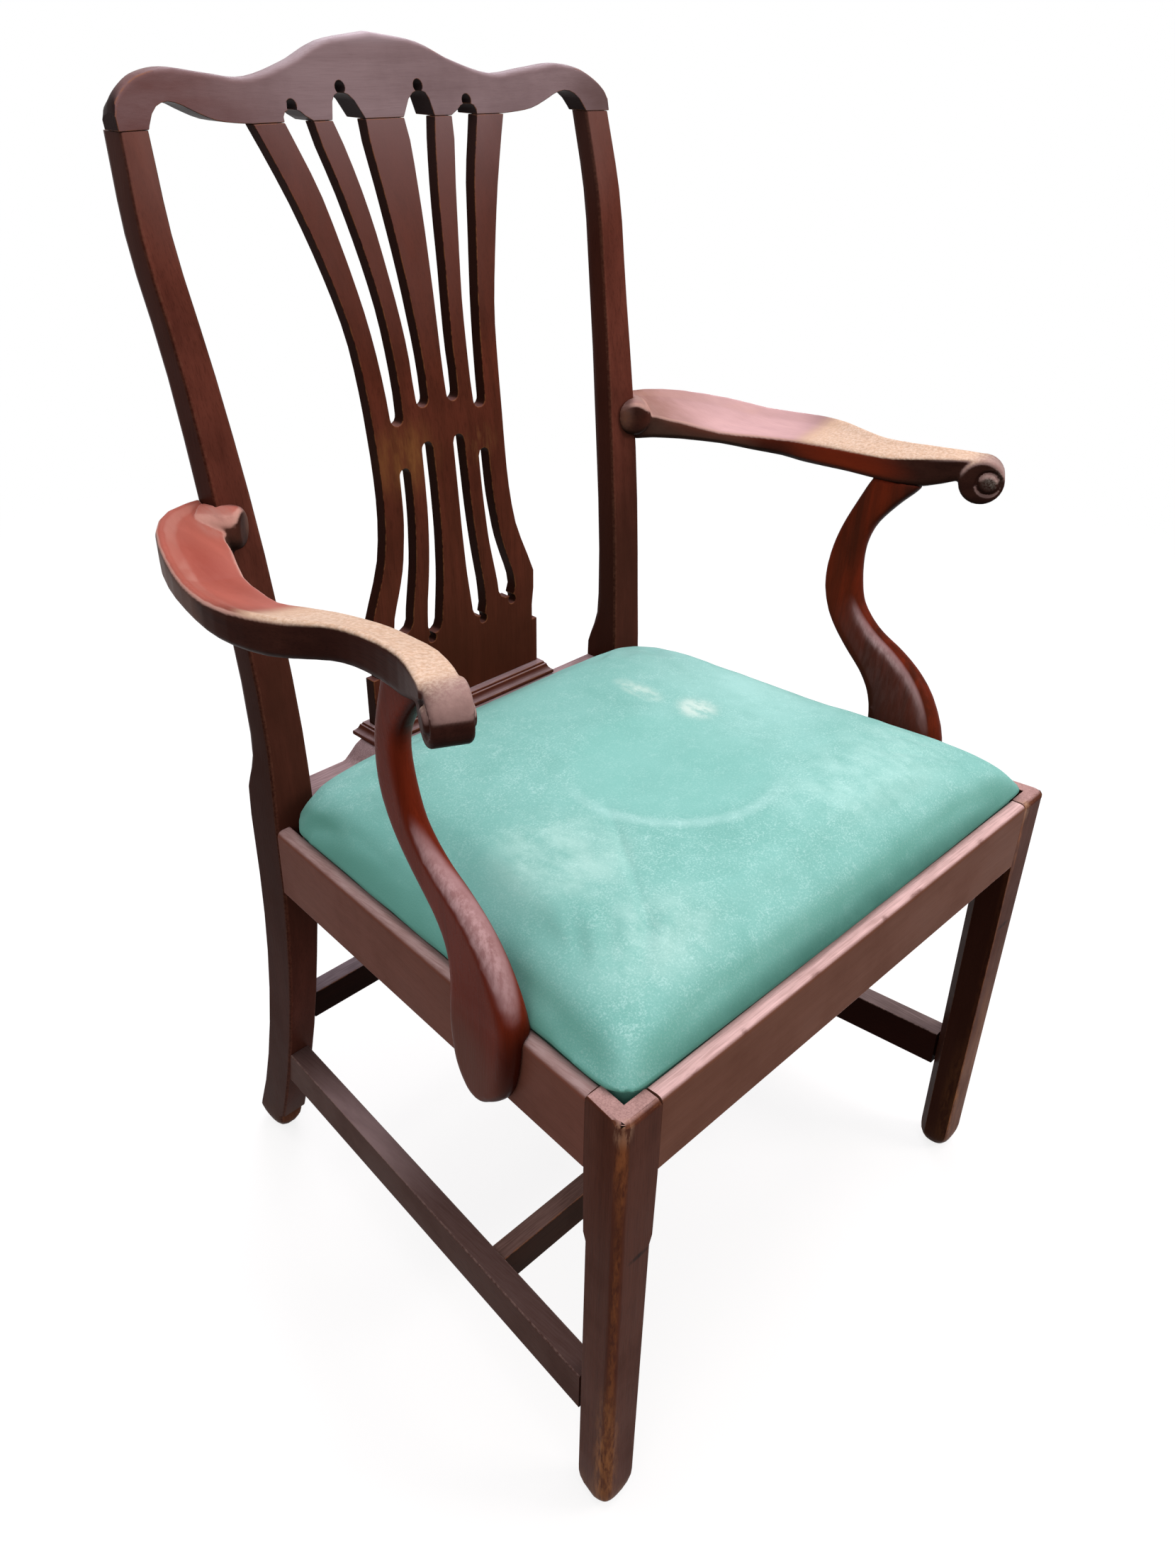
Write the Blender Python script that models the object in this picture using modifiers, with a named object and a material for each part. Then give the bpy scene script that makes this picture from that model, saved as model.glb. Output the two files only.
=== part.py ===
"""Georgian armchair with a pierced splat, scrolled arms and a lift-out seat.

Lengths are metres. The chair faces -Y, X runs across it and Z is up. While the pieces are
modelled, Y is measured back from the front face of the front legs; a root empty then
centres the whole chair over the origin. Most pieces come in mirrored pairs, so their
functions take the side: -1 is the left of the chair seen from the front, +1 the right.
"""

import math

import bmesh
import bpy
from mathutils import Vector

# Fits
GAP = 0.0003
SEAT_CLEARANCE = 0.0018

# Seat frame
FRONT_HALF_WIDTH = 0.2715
BACK_HALF_WIDTH = 0.2250
SEAT_DEPTH = 0.4320
RAIL_TOP = 0.4300
RAIL_DROP = 0.0170
RAIL_HEIGHT = 0.0640
RAIL_THICKNESS = 0.0260
RAIL_ROUND = 0.0050
LIP_WIDTH = 0.0135
REBATE_DEPTH = 0.0160
TENON_THICKNESS = 0.0100
TENON_SHOULDER = 0.0100
FRONT_TENON = 0.0200
SIDE_TENON = 0.0150
BACK_TENON = 0.0160

# Front legs
LEG_SIZE = 0.0360
LEG_CHAMFER = 0.0095
LEG_TAPER = 0.0030
LEG_STEP_HEIGHT = 0.3000
LEG_STEP = 0.0025
LEG_STEP_REACH = 0.0040
FOOT_ROUND = 0.0120
BACK_FOOT_SHARE = 0.8000
LEG_TOP_ROUND = 0.0030
LEG_CORNER_ROUND = 0.0070

# Back posts: the leg below the seat and the upright above it are one piece
LEG_RAKE = 0.0750
BACK_RAKE = 0.0717
CREST_JOINT = 0.9240
POST_WIDTHS = ((0, 0.039), (0.18, 0.035), (0.46, 0.0325), (0.73, 0.0265), (0.87, 0.0252), (1, 0.023))
POST_SPLAY = ((0, 0), (0.18, -0.003), (0.46, 0), (0.72, 0.003), (0.87, 0.008), (1, 0.004))
POST_DEPTHS = ((0, 0.039), (0.055, 0.038), (0.09, 0.033), (0.13, 0.030), (0.46, 0.029), (1, 0.025))
POST_ROUNDS = ((0, 0.0015), (0.06, 0.0015), (0.14, 0.009), (1, 0.009))
POST_INNER_ROUNDS = ((0, 0.0015), (0.06, 0.0015), (0.14, 0.011), (0.5, 0.0135), (1, 0.0125))
BACK_LEG_WIDTHS = ((0, 0.039), (0.16, 0.037), (0.3, 0.032), (0.75, 0.028), (1, 0.0275))
BACK_LEG_DEPTHS = ((0, 0.039), (0.15, 0.038), (0.35, 0.0362), (0.8, 0.036), (0.95, 0.039), (1, 0.039))
POST_TENON = 0.0120
POST_TENON_HEIGHT = 0.0110

# Crest rail: heights are above the joint with the posts. The top runs from the middle to the
# end, the arches from the splat to the post, and the edges are given from the faces and the top
CREST_OVERHANG = 0.0010
CREST_THICKNESS = 0.0240
CREST_END_THINNING = 0.0050
CREST_SAG = 0.0199
CREST_BEND = 2.5
CREST_LEAN = 0.2200
CREST_TOPS = (
    (0, 0.0565), (0.196, 0.0502), (0.326, 0.0385), (0.5, 0.0285), (0.652, 0.0318), (0.791, 0.0353),
    (0.891, 0.0318), (0.952, 0.0246), (0.989, 0.0165), (1, 0.0100),
)
CREST_ARCH = (
    (0, 0), (0.167, 0.0010), (0.352, 0.0032), (0.526, 0.0085), (0.676, 0.0140), (0.792, 0.0155),
    (0.896, 0.0125), (0.965, 0.0060), (1, 0),
)
CREST_FRONT_EDGE = ((0, 0.0042), (0.0012, 0.0014), (0.0042, 0.0002))
CREST_BACK_EDGE = ((0.0075, 0.0016), (0.0022, 0.0052), (0, 0.0100))
CREST_FULL_EDGE = 0.0220
CREST_STEPS = 40

# Splat: heights are shares of the way from the shoe to the crest
SPLAT_THICKNESS = 0.0115
SPLAT_SETBACK = 0.0235
SPLAT_SWEEP = 2.5
SPLAT_FOOT = 0.0060
SPLAT_EDGE = (
    (0.128, 0.0925), (0.165, 0.0950), (0.2, 0.0955), (0.2465, 0.0867), (0.3057, 0.0758), (0.381, 0.0700),
    (0.4557, 0.0686), (0.54, 0.0693), (0.598, 0.0702), (0.6885, 0.0738), (0.775, 0.0828), (0.879, 0.0973),
    (0.955, 0.1108), (1, 0.1196),
)
SPLAT_BASE_HALF = 0.0985
SPLAT_BASE_TOP = 0.096
SPLAT_STATIONS = 26
INNER_UPPER_SLOT = (
    (0.574, 0.0163, 0.0064), (0.60, 0.0164, 0.0069), (0.652, 0.0167, 0.0067), (0.716, 0.0187, 0.0071),
    (0.779, 0.0213, 0.0080), (0.843, 0.0242, 0.0087), (0.9066, 0.0277, 0.0102), (0.97, 0.0321, 0.0126),
    (1, 0.0338, 0.0152),
)
OUTER_UPPER_SLOT = (
    (0.553, 0.0447, 0.0066), (0.588, 0.0448, 0.0072), (0.652, 0.0464, 0.0079), (0.716, 0.0493, 0.0087),
    (0.779, 0.0541, 0.0092), (0.843, 0.0599, 0.0095), (0.9066, 0.0665, 0.0098), (0.97, 0.0756, 0.0112),
    (1, 0.0792, 0.0128),
)
INNER_LOWER_SLOT = (
    (0.164, 0.0264, 0.0081), (0.2066, 0.0245, 0.0087), (0.249, 0.0219, 0.0083), (0.291, 0.0200, 0.0076),
    (0.334, 0.0186, 0.0071), (0.3763, 0.0178, 0.0066), (0.4187, 0.0174, 0.0064), (0.489, 0.0171, 0.0060),
)
OUTER_LOWER_SLOT = (
    (0.182, 0.0612, 0.0104), (0.2066, 0.0596, 0.0102), (0.249, 0.0542, 0.0086), (0.291, 0.0494, 0.0073),
    (0.334, 0.0466, 0.0065), (0.3763, 0.0446, 0.0059), (0.4187, 0.0438, 0.0058), (0.454, 0.0436, 0.0057),
)
SLOT_STEPS = 13
SLOT_OVERRUN = 0.0040
LOBE_RADIUS = 0.0045
INNER_LOBE = (0.0305, 0.138)
OUTER_LOBE = (0.0668, 0.156)
INNER_HEAD = (0.0360, 0.0100, 0.0120, 0.0370, 0.0172, 0.0208)
OUTER_HEAD = (0.0825, 0.0095, 0.0035, 0.0834, 0.0074, 0.0100)
SPLAT_TENONS = ((0, 0.0120), (-0.1050, 0.0070), (0.1050, 0.0070))
SPLAT_TENON_HEIGHT = 0.0120
SPLAT_TENON_THICKNESS = 0.0070

# Back rail and shoe
BACK_RAIL_FRONT = 0.0020
BACK_RAIL_THICKNESS = 0.0360
BACK_RAIL_END_RISE = 0.0130
BACK_RAIL_RISE = 0.0280
BACK_RAIL_CYMA = (0.1045, 0.1290)
LEDGE_WIDTH = 0.0150
LEDGE_HEIGHT = 0.0300
SHOE_HALF_LENGTH = 0.1010
SHOE_HEIGHT = 0.0125
SHOE_MARGIN = 0.0065
SHOE_MOULDING = (
    (0, 0.0068), (0.0032, 0.0068), (0.0045, 0.0050), (0.0062, 0.0034), (0.0085, 0.0023),
    (0.0102, 0.0019), (0.0103, 0.0006), (0.0125, 0),
)

# Stretchers
SIDE_STRETCHER_TOP = 0.1370
SIDE_STRETCHER_HEIGHT = 0.0390
SIDE_STRETCHER_THICKNESS = 0.0200
STRETCHER_INSET = 0.0015
STRETCHER_TENON = 0.0150
STRETCHER_TENON_THICKNESS = 0.0085
STRETCHER_SHOULDER = 0.0060
CROSS_STRETCHER_FRONT = 0.1510
CROSS_STRETCHER_THICKNESS = 0.0170
CROSS_STRETCHER_TOP = 0.1350
CROSS_STRETCHER_HEIGHT = 0.0330
CROSS_TENON = 0.0100
BACK_STRETCHER_TOP = 0.2020
BACK_STRETCHER_HEIGHT = 0.0290
BACK_STRETCHER_THICKNESS = 0.0175
BACK_STRETCHER_TENON = 0.0120
BACK_STRETCHER_SETBACK = 0.0060

# Arms: rows from the post to the scroll hold the inner top edge, the outer top edge and the
# height of the underside. An edge is given as its distance out from the line of the rail,
# its distance ahead of the post and its height above the arm level
ARM_LEVEL = 0.6500
ARM_ROWS = (
    (-0.0032, -0.0120, 0.0245, 0.0013, -0.0475, 0.0375, -0.0015),
    (0.0081, -0.0010, 0.0237, 0.0357, -0.0370, 0.0382, -0.0010),
    (0.0113, 0.0110, 0.0225, 0.0577, -0.0090, 0.0380, 0.0000),
    (0.0143, 0.0229, 0.0212, 0.0724, 0.0365, 0.0357, 0.0012),
    (0.0242, 0.0567, 0.0165, 0.0791, 0.0743, 0.0322, 0.0020),
    (0.0287, 0.0885, 0.0185, 0.0813, 0.1090, 0.0331, 0.0015),
    (0.0307, 0.1189, 0.0211, 0.0784, 0.1370, 0.0352, 0.0020),
    (0.0244, 0.1439, 0.0249, 0.0688, 0.1640, 0.0368, 0.0030),
    (0.0159, 0.1704, 0.0280, 0.0572, 0.1840, 0.0376, 0.0060),
    (0.0096, 0.1967, 0.0301, 0.0460, 0.2010, 0.0388, 0.0085),
    (0.0058, 0.2180, 0.0314, 0.0388, 0.2176, 0.0389, 0.0095),
    (0.0048, 0.2430, 0.0331, 0.0354, 0.2422, 0.0402, 0.0095),
    (0.0088, 0.2709, 0.0374, 0.0364, 0.2665, 0.0414, 0.0110),
    (0.0177, 0.2986, 0.0402, 0.0418, 0.2874, 0.0411, 0.0200),
    (0.0250, 0.3160, 0.0396, 0.0482, 0.3045, 0.0398, 0.0250),
)
ARM_STEPS = 2
ARM_FULL_WIDTH = 0.0480
ARM_DISH = 0.0018
ARM_TILT = 0.4000
ARM_EDGE_ROUND = 0.0045
ARM_UNDER_ROUND = 0.0062
ARM_UNDER_CURVE = 0.0018
POST_LAP = (-0.1000, 0.1500)
SCROLL_CENTRE = (0.0337, 0.3092, 0.0222)
SCROLL_AXIS = (0.887, 0.46, 0)
SCROLL_PROFILE = ((0.0130, 0.0156), (0.0122, 0.0176), (0.0105, 0.0186))
SCROLL_EYE_OFFSET = 0.0055
SCROLL_EYE_PROFILE = ((0.0150, 0.0050), (0.0143, 0.0070), (0.0125, 0.0080))
SCROLL_MOAT_RADIUS = 0.0108
SCROLL_MOAT_DEPTH = 0.0018
KNOB_FACE = (-0.0114, -0.0080, 0.0212)
KNOB_AXIS = (0.65, 0.76, 0)
KNOB_PROFILE = ((0, 0.0105), (0.0012, 0.0135), (0.004, 0.0158), (0.009, 0.0165), (0.032, 0.0165))

# Arm supports: rows from the arm down hold the front edge and the rear edge, each as its
# distance ahead of the post and its share of the way from the rail top up to the arm level
SUPPORT_ROWS = (
    (0.2715, 1.0614, 0.2285, 1.0636),
    (0.2640, 1.0182, 0.2235, 1.0273),
    (0.2549, 0.9768, 0.2185, 0.9773),
    (0.2417, 0.9064, 0.2105, 0.8955),
    (0.2335, 0.8468, 0.2048, 0.8273),
    (0.2291, 0.7727, 0.2005, 0.7545),
    (0.2292, 0.6941, 0.1980, 0.6655),
    (0.2318, 0.6177, 0.1992, 0.5732),
    (0.2365, 0.5450, 0.2069, 0.4750),
    (0.2475, 0.4805, 0.2189, 0.3964),
    (0.2605, 0.4332, 0.2334, 0.3250),
    (0.2755, 0.3959, 0.2470, 0.2636),
    (0.2895, 0.3536, 0.2570, 0.1977),
    (0.3025, 0.3027, 0.2620, 0.1364),
    (0.3160, 0.2273, 0.2640, 0.0818),
    (0.3290, 0.1091, 0.2650, 0.0318),
    (0.3345, 0.0000, 0.2635, -0.0227),
    (0.3340, -0.1000, 0.2635, -0.1091),
    (0.3300, -0.1909, 0.2655, -0.1909),
    (0.3240, -0.2591, 0.2690, -0.2636),
    (0.3140, -0.3136, 0.2770, -0.3227),
    (0.3030, -0.3500, 0.2860, -0.3523),
)
SUPPORT_INNER = 0.0130
SUPPORT_OUTER = ((-0.35, 0.0135), (0, 0.0120), (0.28, 0.0070), (0.55, 0.0045), (1, 0.0050))
SUPPORT_LEAN = 0.0810
SUPPORT_FRONT_ROUND = 0.0110
SUPPORT_REAR_ROUND = 0.0050
SUPPORT_TENON = (0.2260, 0.2460)
SUPPORT_TENON_THICKNESS = 0.0100
SUPPORT_TENON_HEIGHT = 0.0110

# Corner blocks
BLOCK_REACH = 0.0500
BLOCK_HEIGHT = 0.0280
BLOCK_MARGIN = 0.0040

# Screws: profiles are (distance along the screw, radius), and the support screws are placed by
# their distances ahead of the post and below the rail top
SCREW_PROFILE = ((0, 0.0042), (0.0010, 0.0042), (0.0034, 0.0020), (0.0300, 0.0020), (0.0345, 0.0006))
SUPPORT_SCREWS = {"front": (0.3150, 0.0295), "back": (0.2890, 0.0345)}
SCREW_HOLE_REACH = 0.0120
ARM_SCREW_INSET = 0.0090
ARM_SCREW_RISE = 0.0240
ARM_SCREW_SINK = 0.0050

# Drop-in seat: heights are above the rebate, and follow its slope
CLOTH = 0.0012
BAR_WIDTH = 0.0550
BAR_THICKNESS = 0.0150
BAR_CORNER = 0.0100
BAR_TENON = 0.0220
BAR_TENON_THICKNESS = 0.0060
WEB_WIDTH = 0.0500
WEB_THICKNESS = 0.0014
WEB_LAP = 0.0300
HESSIAN_THICKNESS = 0.0010
HESSIAN_INSET = 0.0120
COVER_FLANGE = 0.0160
COVER_RINGS = (
    (0, 0, 0.010), (0, 0.0160, 0.013), (-0.0005, 0.0260, 0.024), (0.0004, 0.0355, 0.032),
    (0.0036, 0.0450, 0.040), (0.0098, 0.0538, 0.052), (0.0205, 0.0613, 0.066), (0.0390, 0.0668, 0.078),
    (0.0700, 0.0706, 0.086), (0.1100, 0.0730, 0.080), (0.1500, 0.0740, 0.050),
)
PAD_FOOT = (0.0080, 0.0100)
FLANGE_CORNER = 0.0100
RING_SIDE_POINTS = 6
RING_CORNER_POINTS = 5

# Colours
MAHOGANY = (0.075, 0.026, 0.018)
WORN_MAHOGANY = (0.130, 0.048, 0.030)
BEECH = (0.450, 0.310, 0.190)
LINEN = (0.360, 0.280, 0.180)
HAIR = (0.210, 0.160, 0.110)
GREEN_CLOTH = (0.095, 0.270, 0.205)
STEEL = (0.330, 0.320, 0.310)

SIDES = {"left": -1, "right": 1}


# Interpolation

def curve_at(points, t):
    """Smooth value at t through (t, value) points, held at the end values outside them."""
    if t <= points[0][0]:
        return points[0][1]
    if t >= points[-1][0]:
        return points[-1][1]
    i = max(k for k in range(len(points) - 1) if points[k][0] <= t)

    def slope(k):
        low, high = points[max(k - 1, 0)], points[min(k + 1, len(points) - 1)]
        return (high[1] - low[1]) / (high[0] - low[0])

    (t0, v0), (t1, v1) = points[i], points[i + 1]
    span = t1 - t0
    u = (t - t0) / span
    rise = u * u * (3 - 2 * u)
    start = u * (1 - u) ** 2
    end = u * u * (u - 1)
    return v0 + (v1 - v0) * rise + span * (start * slope(i) + end * slope(i + 1))


def smooth_rows(rows, steps):
    """Rows of equal length with further rows, smooth in every column, between each two."""
    columns = [[(i, row[k]) for i, row in enumerate(rows)] for k in range(len(rows[0]))]
    count = (len(rows) - 1) * steps
    return [[curve_at(column, n / steps) for column in columns] for n in range(count + 1)]


# Object helpers

for old in list(bpy.data.objects):
    bpy.data.objects.remove(old)

PIECES = bpy.data.collections.new("georgian_armchair")
CUTTERS = bpy.data.collections.new("georgian_armchair_cutters")
bpy.context.scene.collection.children.link(PIECES)
bpy.context.scene.collection.children.link(CUTTERS)
ROOT = bpy.data.objects.new("chair_centre", None)
SEAT_LIFT = bpy.data.objects.new("drop_in_seat_lift", None)
SEAT_LIFT.parent = ROOT
PIECES.objects.link(ROOT)
PIECES.objects.link(SEAT_LIFT)


def add_mesh(name, bm):
    """Helper object holding the bmesh, drawn as wire until it is made a piece."""
    bmesh.ops.recalc_face_normals(bm, faces=bm.faces)
    mesh = bpy.data.meshes.new(name)
    bm.to_mesh(mesh)
    bm.free()
    obj = bpy.data.objects.new(name, mesh)
    obj.parent = ROOT
    obj.hide_render = True
    obj.display_type = "WIRE"
    CUTTERS.objects.link(obj)
    return obj


def make_piece(obj, colour, roughness, metallic=0.0, smooth=False):
    """Moves a helper to the pieces and gives it its finish."""
    CUTTERS.objects.unlink(obj)
    PIECES.objects.link(obj)
    obj.hide_render = False
    obj.display_type = "TEXTURED"
    finish = bpy.data.materials.new(obj.name + "_finish")
    finish.use_nodes = True
    shader = finish.node_tree.nodes["Principled BSDF"]
    shader.inputs["Base Color"].default_value = (*colour, 1)
    shader.inputs["Roughness"].default_value = roughness
    shader.inputs["Metallic"].default_value = metallic
    obj.data.materials.append(finish)
    for face in obj.data.polygons:
        face.use_smooth = smooth
    return obj


def wooden(obj, colour=MAHOGANY, smooth=False):
    return make_piece(obj, colour, 0.38, smooth=smooth)


def loft(name, rings):
    """Closed solid through rings that have the same number of points."""
    bm = bmesh.new()
    rows = [[bm.verts.new(point) for point in ring] for ring in rings]
    for low, high in zip(rows, rows[1:]):
        for i in range(len(low)):
            j = (i + 1) % len(low)
            bm.faces.new((low[i], low[j], high[j], high[i]))
    bm.faces.new(rows[0])
    bm.faces.new(rows[-1])
    return add_mesh(name, bm)


def prism(name, outline, place, start, end):
    """Solid of a 2-D outline swept from start to end by place(a, b, distance).

    Each end is a distance, or a function of the outline point that gives one.
    """
    def ring(stop):
        return [place(a, b, stop(a, b) if callable(stop) else stop) for a, b in outline]

    return loft(name, [ring(start), ring(end)])


def quarter_round():
    """Unit rounding of a corner, as distances back from its two sides."""
    angles = [math.pi / 2 * i / 3 for i in range(4)]
    return [(1 - math.cos(angle), 1 - math.sin(angle)) for angle in angles]


def rectangle(low_a, high_a, low_b, high_b):
    return [(low_a, low_b), (high_a, low_b), (high_a, high_b), (low_a, high_b)]


def upright(x, z, y):
    """Place for an outline drawn in the front view."""
    return Vector((x, y, z))


def across(y, z, x):
    """Place for an outline drawn in the side view."""
    return Vector((x, y, z))


def turned(name, start, axis, profile, grow=0.0, segments=16):
    """Round solid along axis from start, through (distance, radius) pairs."""
    start = Vector(start)
    along = Vector(axis).normalized()
    across = along.orthogonal().normalized()
    third = along.cross(across)
    rings = []
    for distance, radius in profile:
        ring = []
        for i in range(segments):
            angle = 2 * math.pi * i / segments
            spoke = across * math.cos(angle) + third * math.sin(angle)
            ring.append(start + along * distance + spoke * (radius + grow))
        rings.append(ring)
    return loft(name, rings)


def boolean(target, tool, operation):
    modifier = target.modifiers.new(tool.name, "BOOLEAN")
    modifier.operation = operation
    modifier.solver = "EXACT"
    modifier.object = tool


def join(target, tool):
    boolean(target, tool, "UNION")


def cut(target, tool):
    boolean(target, tool, "DIFFERENCE")


# Lines that the frame is set out on

def rail_top(y):
    """Height of the seat rails, which fall towards the back."""
    return RAIL_TOP - RAIL_DROP * y / SEAT_DEPTH


def rail_outer(y):
    """Half-width of the seat frame at the outer faces of the side rails."""
    return FRONT_HALF_WIDTH - (FRONT_HALF_WIDTH - BACK_HALF_WIDTH) * y / SEAT_DEPTH


def seat_back_height():
    return rail_top(SEAT_DEPTH)


def post_share(z):
    """Negative share of the way down to the floor, or positive share of the way to the crest."""
    seat = seat_back_height()
    if z < seat:
        return (z - seat) / seat
    return (z - seat) / (CREST_JOINT - seat)


def post_front(z):
    """Distance back to the front face of the posts."""
    share = post_share(z)
    if share < 0:
        return SEAT_DEPTH + LEG_RAKE * share ** 2
    return SEAT_DEPTH + BACK_RAKE * (1.3 * share ** 2 - 0.3 * share ** 3)


def post_edges(z):
    """Inner and outer half-width and depth of a post."""
    share = post_share(z)
    if share < 0:
        outer = BACK_HALF_WIDTH
        width = curve_at(BACK_LEG_WIDTHS, -share)
        depth = curve_at(BACK_LEG_DEPTHS, -share)
    else:
        outer = BACK_HALF_WIDTH + curve_at(POST_SPLAY, share)
        width = curve_at(POST_WIDTHS, share)
        depth = curve_at(POST_DEPTHS, share)
    return outer - width, outer, depth


def crest_half_width():
    return post_edges(CREST_JOINT)[1] + CREST_OVERHANG


def crest_front(x):
    """Front face of the crest at its lower edge: flush with the posts, hollow between them."""
    inner = post_edges(CREST_JOINT)[0]
    half = crest_half_width()
    centre = post_front(CREST_JOINT) + CREST_SAG * (inner / half) ** CREST_BEND
    return centre - CREST_SAG * (abs(x) / half) ** CREST_BEND


def post_turn(z):
    """How far the outer edge of a post's front stands forward of the inner edge."""
    inner, outer, _ = post_edges(CREST_JOINT)
    return (crest_front(inner) - crest_front(outer)) * max(post_share(z), 0)


def shoe_top():
    return seat_back_height() + BACK_RAIL_RISE + GAP + SHOE_HEIGHT


def splat_foot_front():
    return SEAT_DEPTH + SPLAT_SETBACK


def splat_height(share):
    low = shoe_top() + GAP
    return low + (CREST_JOINT - GAP - low) * share


def splat_front(x, z):
    """Front face of the splat, swept back to meet the crest."""
    low = shoe_top()
    share = min(max((z - low) / (CREST_JOINT - low), 0), 1)
    front = splat_foot_front()
    return front + (crest_front(x) - front) * share ** SPLAT_SWEEP


# Seat frame

def rail_profile():
    """Rail section: distance in from the outer face, height above the top."""
    arc = [(RAIL_ROUND * a, -RAIL_ROUND * b) for a, b in quarter_round()]
    return [
        (0, -RAIL_HEIGHT),
        *arc,
        (LIP_WIDTH, 0),
        (LIP_WIDTH, -REBATE_DEPTH),
        (RAIL_THICKNESS, -REBATE_DEPTH),
        (RAIL_THICKNESS, -RAIL_HEIGHT),
    ]


def rail_tenon(grow=0.0):
    middle = RAIL_THICKNESS / 2
    half = TENON_THICKNESS / 2 + grow
    low = -RAIL_HEIGHT + TENON_SHOULDER - grow
    high = -REBATE_DEPTH - TENON_SHOULDER / 2 + grow
    return rectangle(middle - half, middle + half, low, high)


def front_rail_place(inward, height, x):
    return Vector((x, inward, rail_top(inward) + height))


def side_rail_place(side):
    def place(inward, height, y):
        return Vector((side * (rail_outer(y) - inward), y, rail_top(y) + height))

    return place


def front_rail():
    end = FRONT_HALF_WIDTH - LEG_SIZE - GAP
    rail = wooden(prism("front_rail", rail_profile(), front_rail_place, -end, end))
    reach = end + FRONT_TENON
    join(rail, prism("front_rail_tenons", rail_tenon(), front_rail_place, -reach, reach))


def front_rail_mortises():
    reach = FRONT_HALF_WIDTH - LEG_SIZE + FRONT_TENON
    return prism("front_rail_mortises", rail_tenon(GAP), front_rail_place, -reach, reach)


def side_rail(word, side):
    place = side_rail_place(side)

    def meets_post(_, height):
        return post_front(seat_back_height() + height) - GAP

    rail = wooden(prism(f"side_rail_{word}", rail_profile(), place, LEG_SIZE + GAP, meets_post))
    start, end = LEG_SIZE - SIDE_TENON, SEAT_DEPTH + SIDE_TENON
    join(rail, prism(f"side_rail_tenons_{word}", rail_tenon(), place, start, end))
    return rail


def side_rail_mortises(word, side):
    place = side_rail_place(side)
    start, end = LEG_SIZE - SIDE_TENON - GAP, SEAT_DEPTH + SIDE_TENON + GAP
    return prism(f"side_rail_mortises_{word}", rail_tenon(GAP), place, start, end)


def seat_pocket():
    """Space above the rebate, inside the lip of the rails."""
    corners = [(-1, LIP_WIDTH), (1, LIP_WIDTH), (1, SEAT_DEPTH), (-1, SEAT_DEPTH)]

    def ring(height):
        return [
            Vector((side * (rail_outer(y) - LIP_WIDTH), y, rail_top(y) + height)) for side, y in corners
        ]

    return loft("seat_pocket", [ring(-REBATE_DEPTH), ring(REBATE_DEPTH)])


def front_leg(word, side, tools):
    inner = FRONT_HALF_WIDTH - LEG_SIZE

    def ring(z, inset, taper):
        back = LEG_SIZE - taper - inset
        left = inner + taper + inset
        bend = max(LEG_CORNER_ROUND - inset / 2, LEG_CORNER_ROUND / 3)
        chamfer = max(LEG_CHAMFER - inset, LEG_CHAMFER / 4)
        points = [(left, inset)]
        points += [(FRONT_HALF_WIDTH - inset - bend * a, inset + bend * b) for a, b in quarter_round()[::-1]]
        points += [(rail_outer(LEG_SIZE) - inset, back), (left + chamfer, back), (left, back - chamfer)]
        return [Vector((side * x, y, z)) for x, y in points]

    step = LEG_STEP if side < 0 else 0.0
    below = RAIL_TOP - RAIL_HEIGHT
    rings = [ring(FOOT_ROUND * b, FOOT_ROUND * a, LEG_TAPER) for a, b in quarter_round()[::-1]]
    rings += [
        ring(LEG_STEP_HEIGHT - LEG_STEP_REACH, 0, LEG_TAPER * 0.4 + step),
        ring(LEG_STEP_HEIGHT + LEG_STEP_REACH, 0, LEG_TAPER * 0.4),
        ring(below - LEG_STEP_REACH, 0, 0),
        ring(RAIL_TOP - LEG_TOP_ROUND, 0, 0),
        ring(RAIL_TOP - LEG_TOP_ROUND * 0.3, LEG_TOP_ROUND * 0.3, 0),
        ring(RAIL_TOP, LEG_TOP_ROUND, 0),
    ]
    leg = wooden(loft(f"front_leg_{word}", rings))
    for tool in tools:
        cut(leg, tool)


def post_rings(side, grow=0.0, bottom=0.0, top=None):
    """Rings up a back post: flat front, square at the seat and rounded behind above it."""
    seat = seat_back_height()
    high = CREST_JOINT - GAP if top is None else top
    back = CREST_JOINT - seat
    foot = {FOOT_ROUND * b: FOOT_ROUND * a for a, b in quarter_round()}
    heights = sorted(foot)
    heights += [seat * (1 - t) for t in (0.93, 0.84, 0.73, 0.61, 0.49, 0.37, 0.26, 0.15)]
    heights += [seat + back * h for h in (0, 0.055, 0.075, 0.095, 0.12, 0.16, 0.25, 0.35)]
    heights += [seat + back * h for h in (0.45, 0.54, 0.62, 0.7, 0.77, 0.83, 0.88, 0.92, 0.96)]
    heights = [z for z in heights if bottom <= z < high - 0.001] + [high]
    rings = []
    for z in heights:
        inner, outer, depth = post_edges(z)
        front, turn = post_front(z), post_turn(z)
        bend = curve_at(POST_ROUNDS, post_share(z))
        inner_bend = curve_at(POST_INNER_ROUNDS, post_share(z))
        worn = foot.get(z, 0.0)
        low_x, high_x = inner + worn * BACK_FOOT_SHARE - grow, outer - worn * BACK_FOOT_SHARE + grow
        low_y, high_y = front + worn - grow, front + depth - worn + grow
        points = [(low_x, low_y), (high_x, low_y - turn)]
        points += [(high_x - bend * a, high_y - bend * b) for a, b in quarter_round()]
        points += [(low_x + inner_bend * a, high_y - inner_bend * b) for a, b in quarter_round()[::-1]]
        rings.append([Vector((side * x, y, z)) for x, y in points])
    return rings


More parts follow.
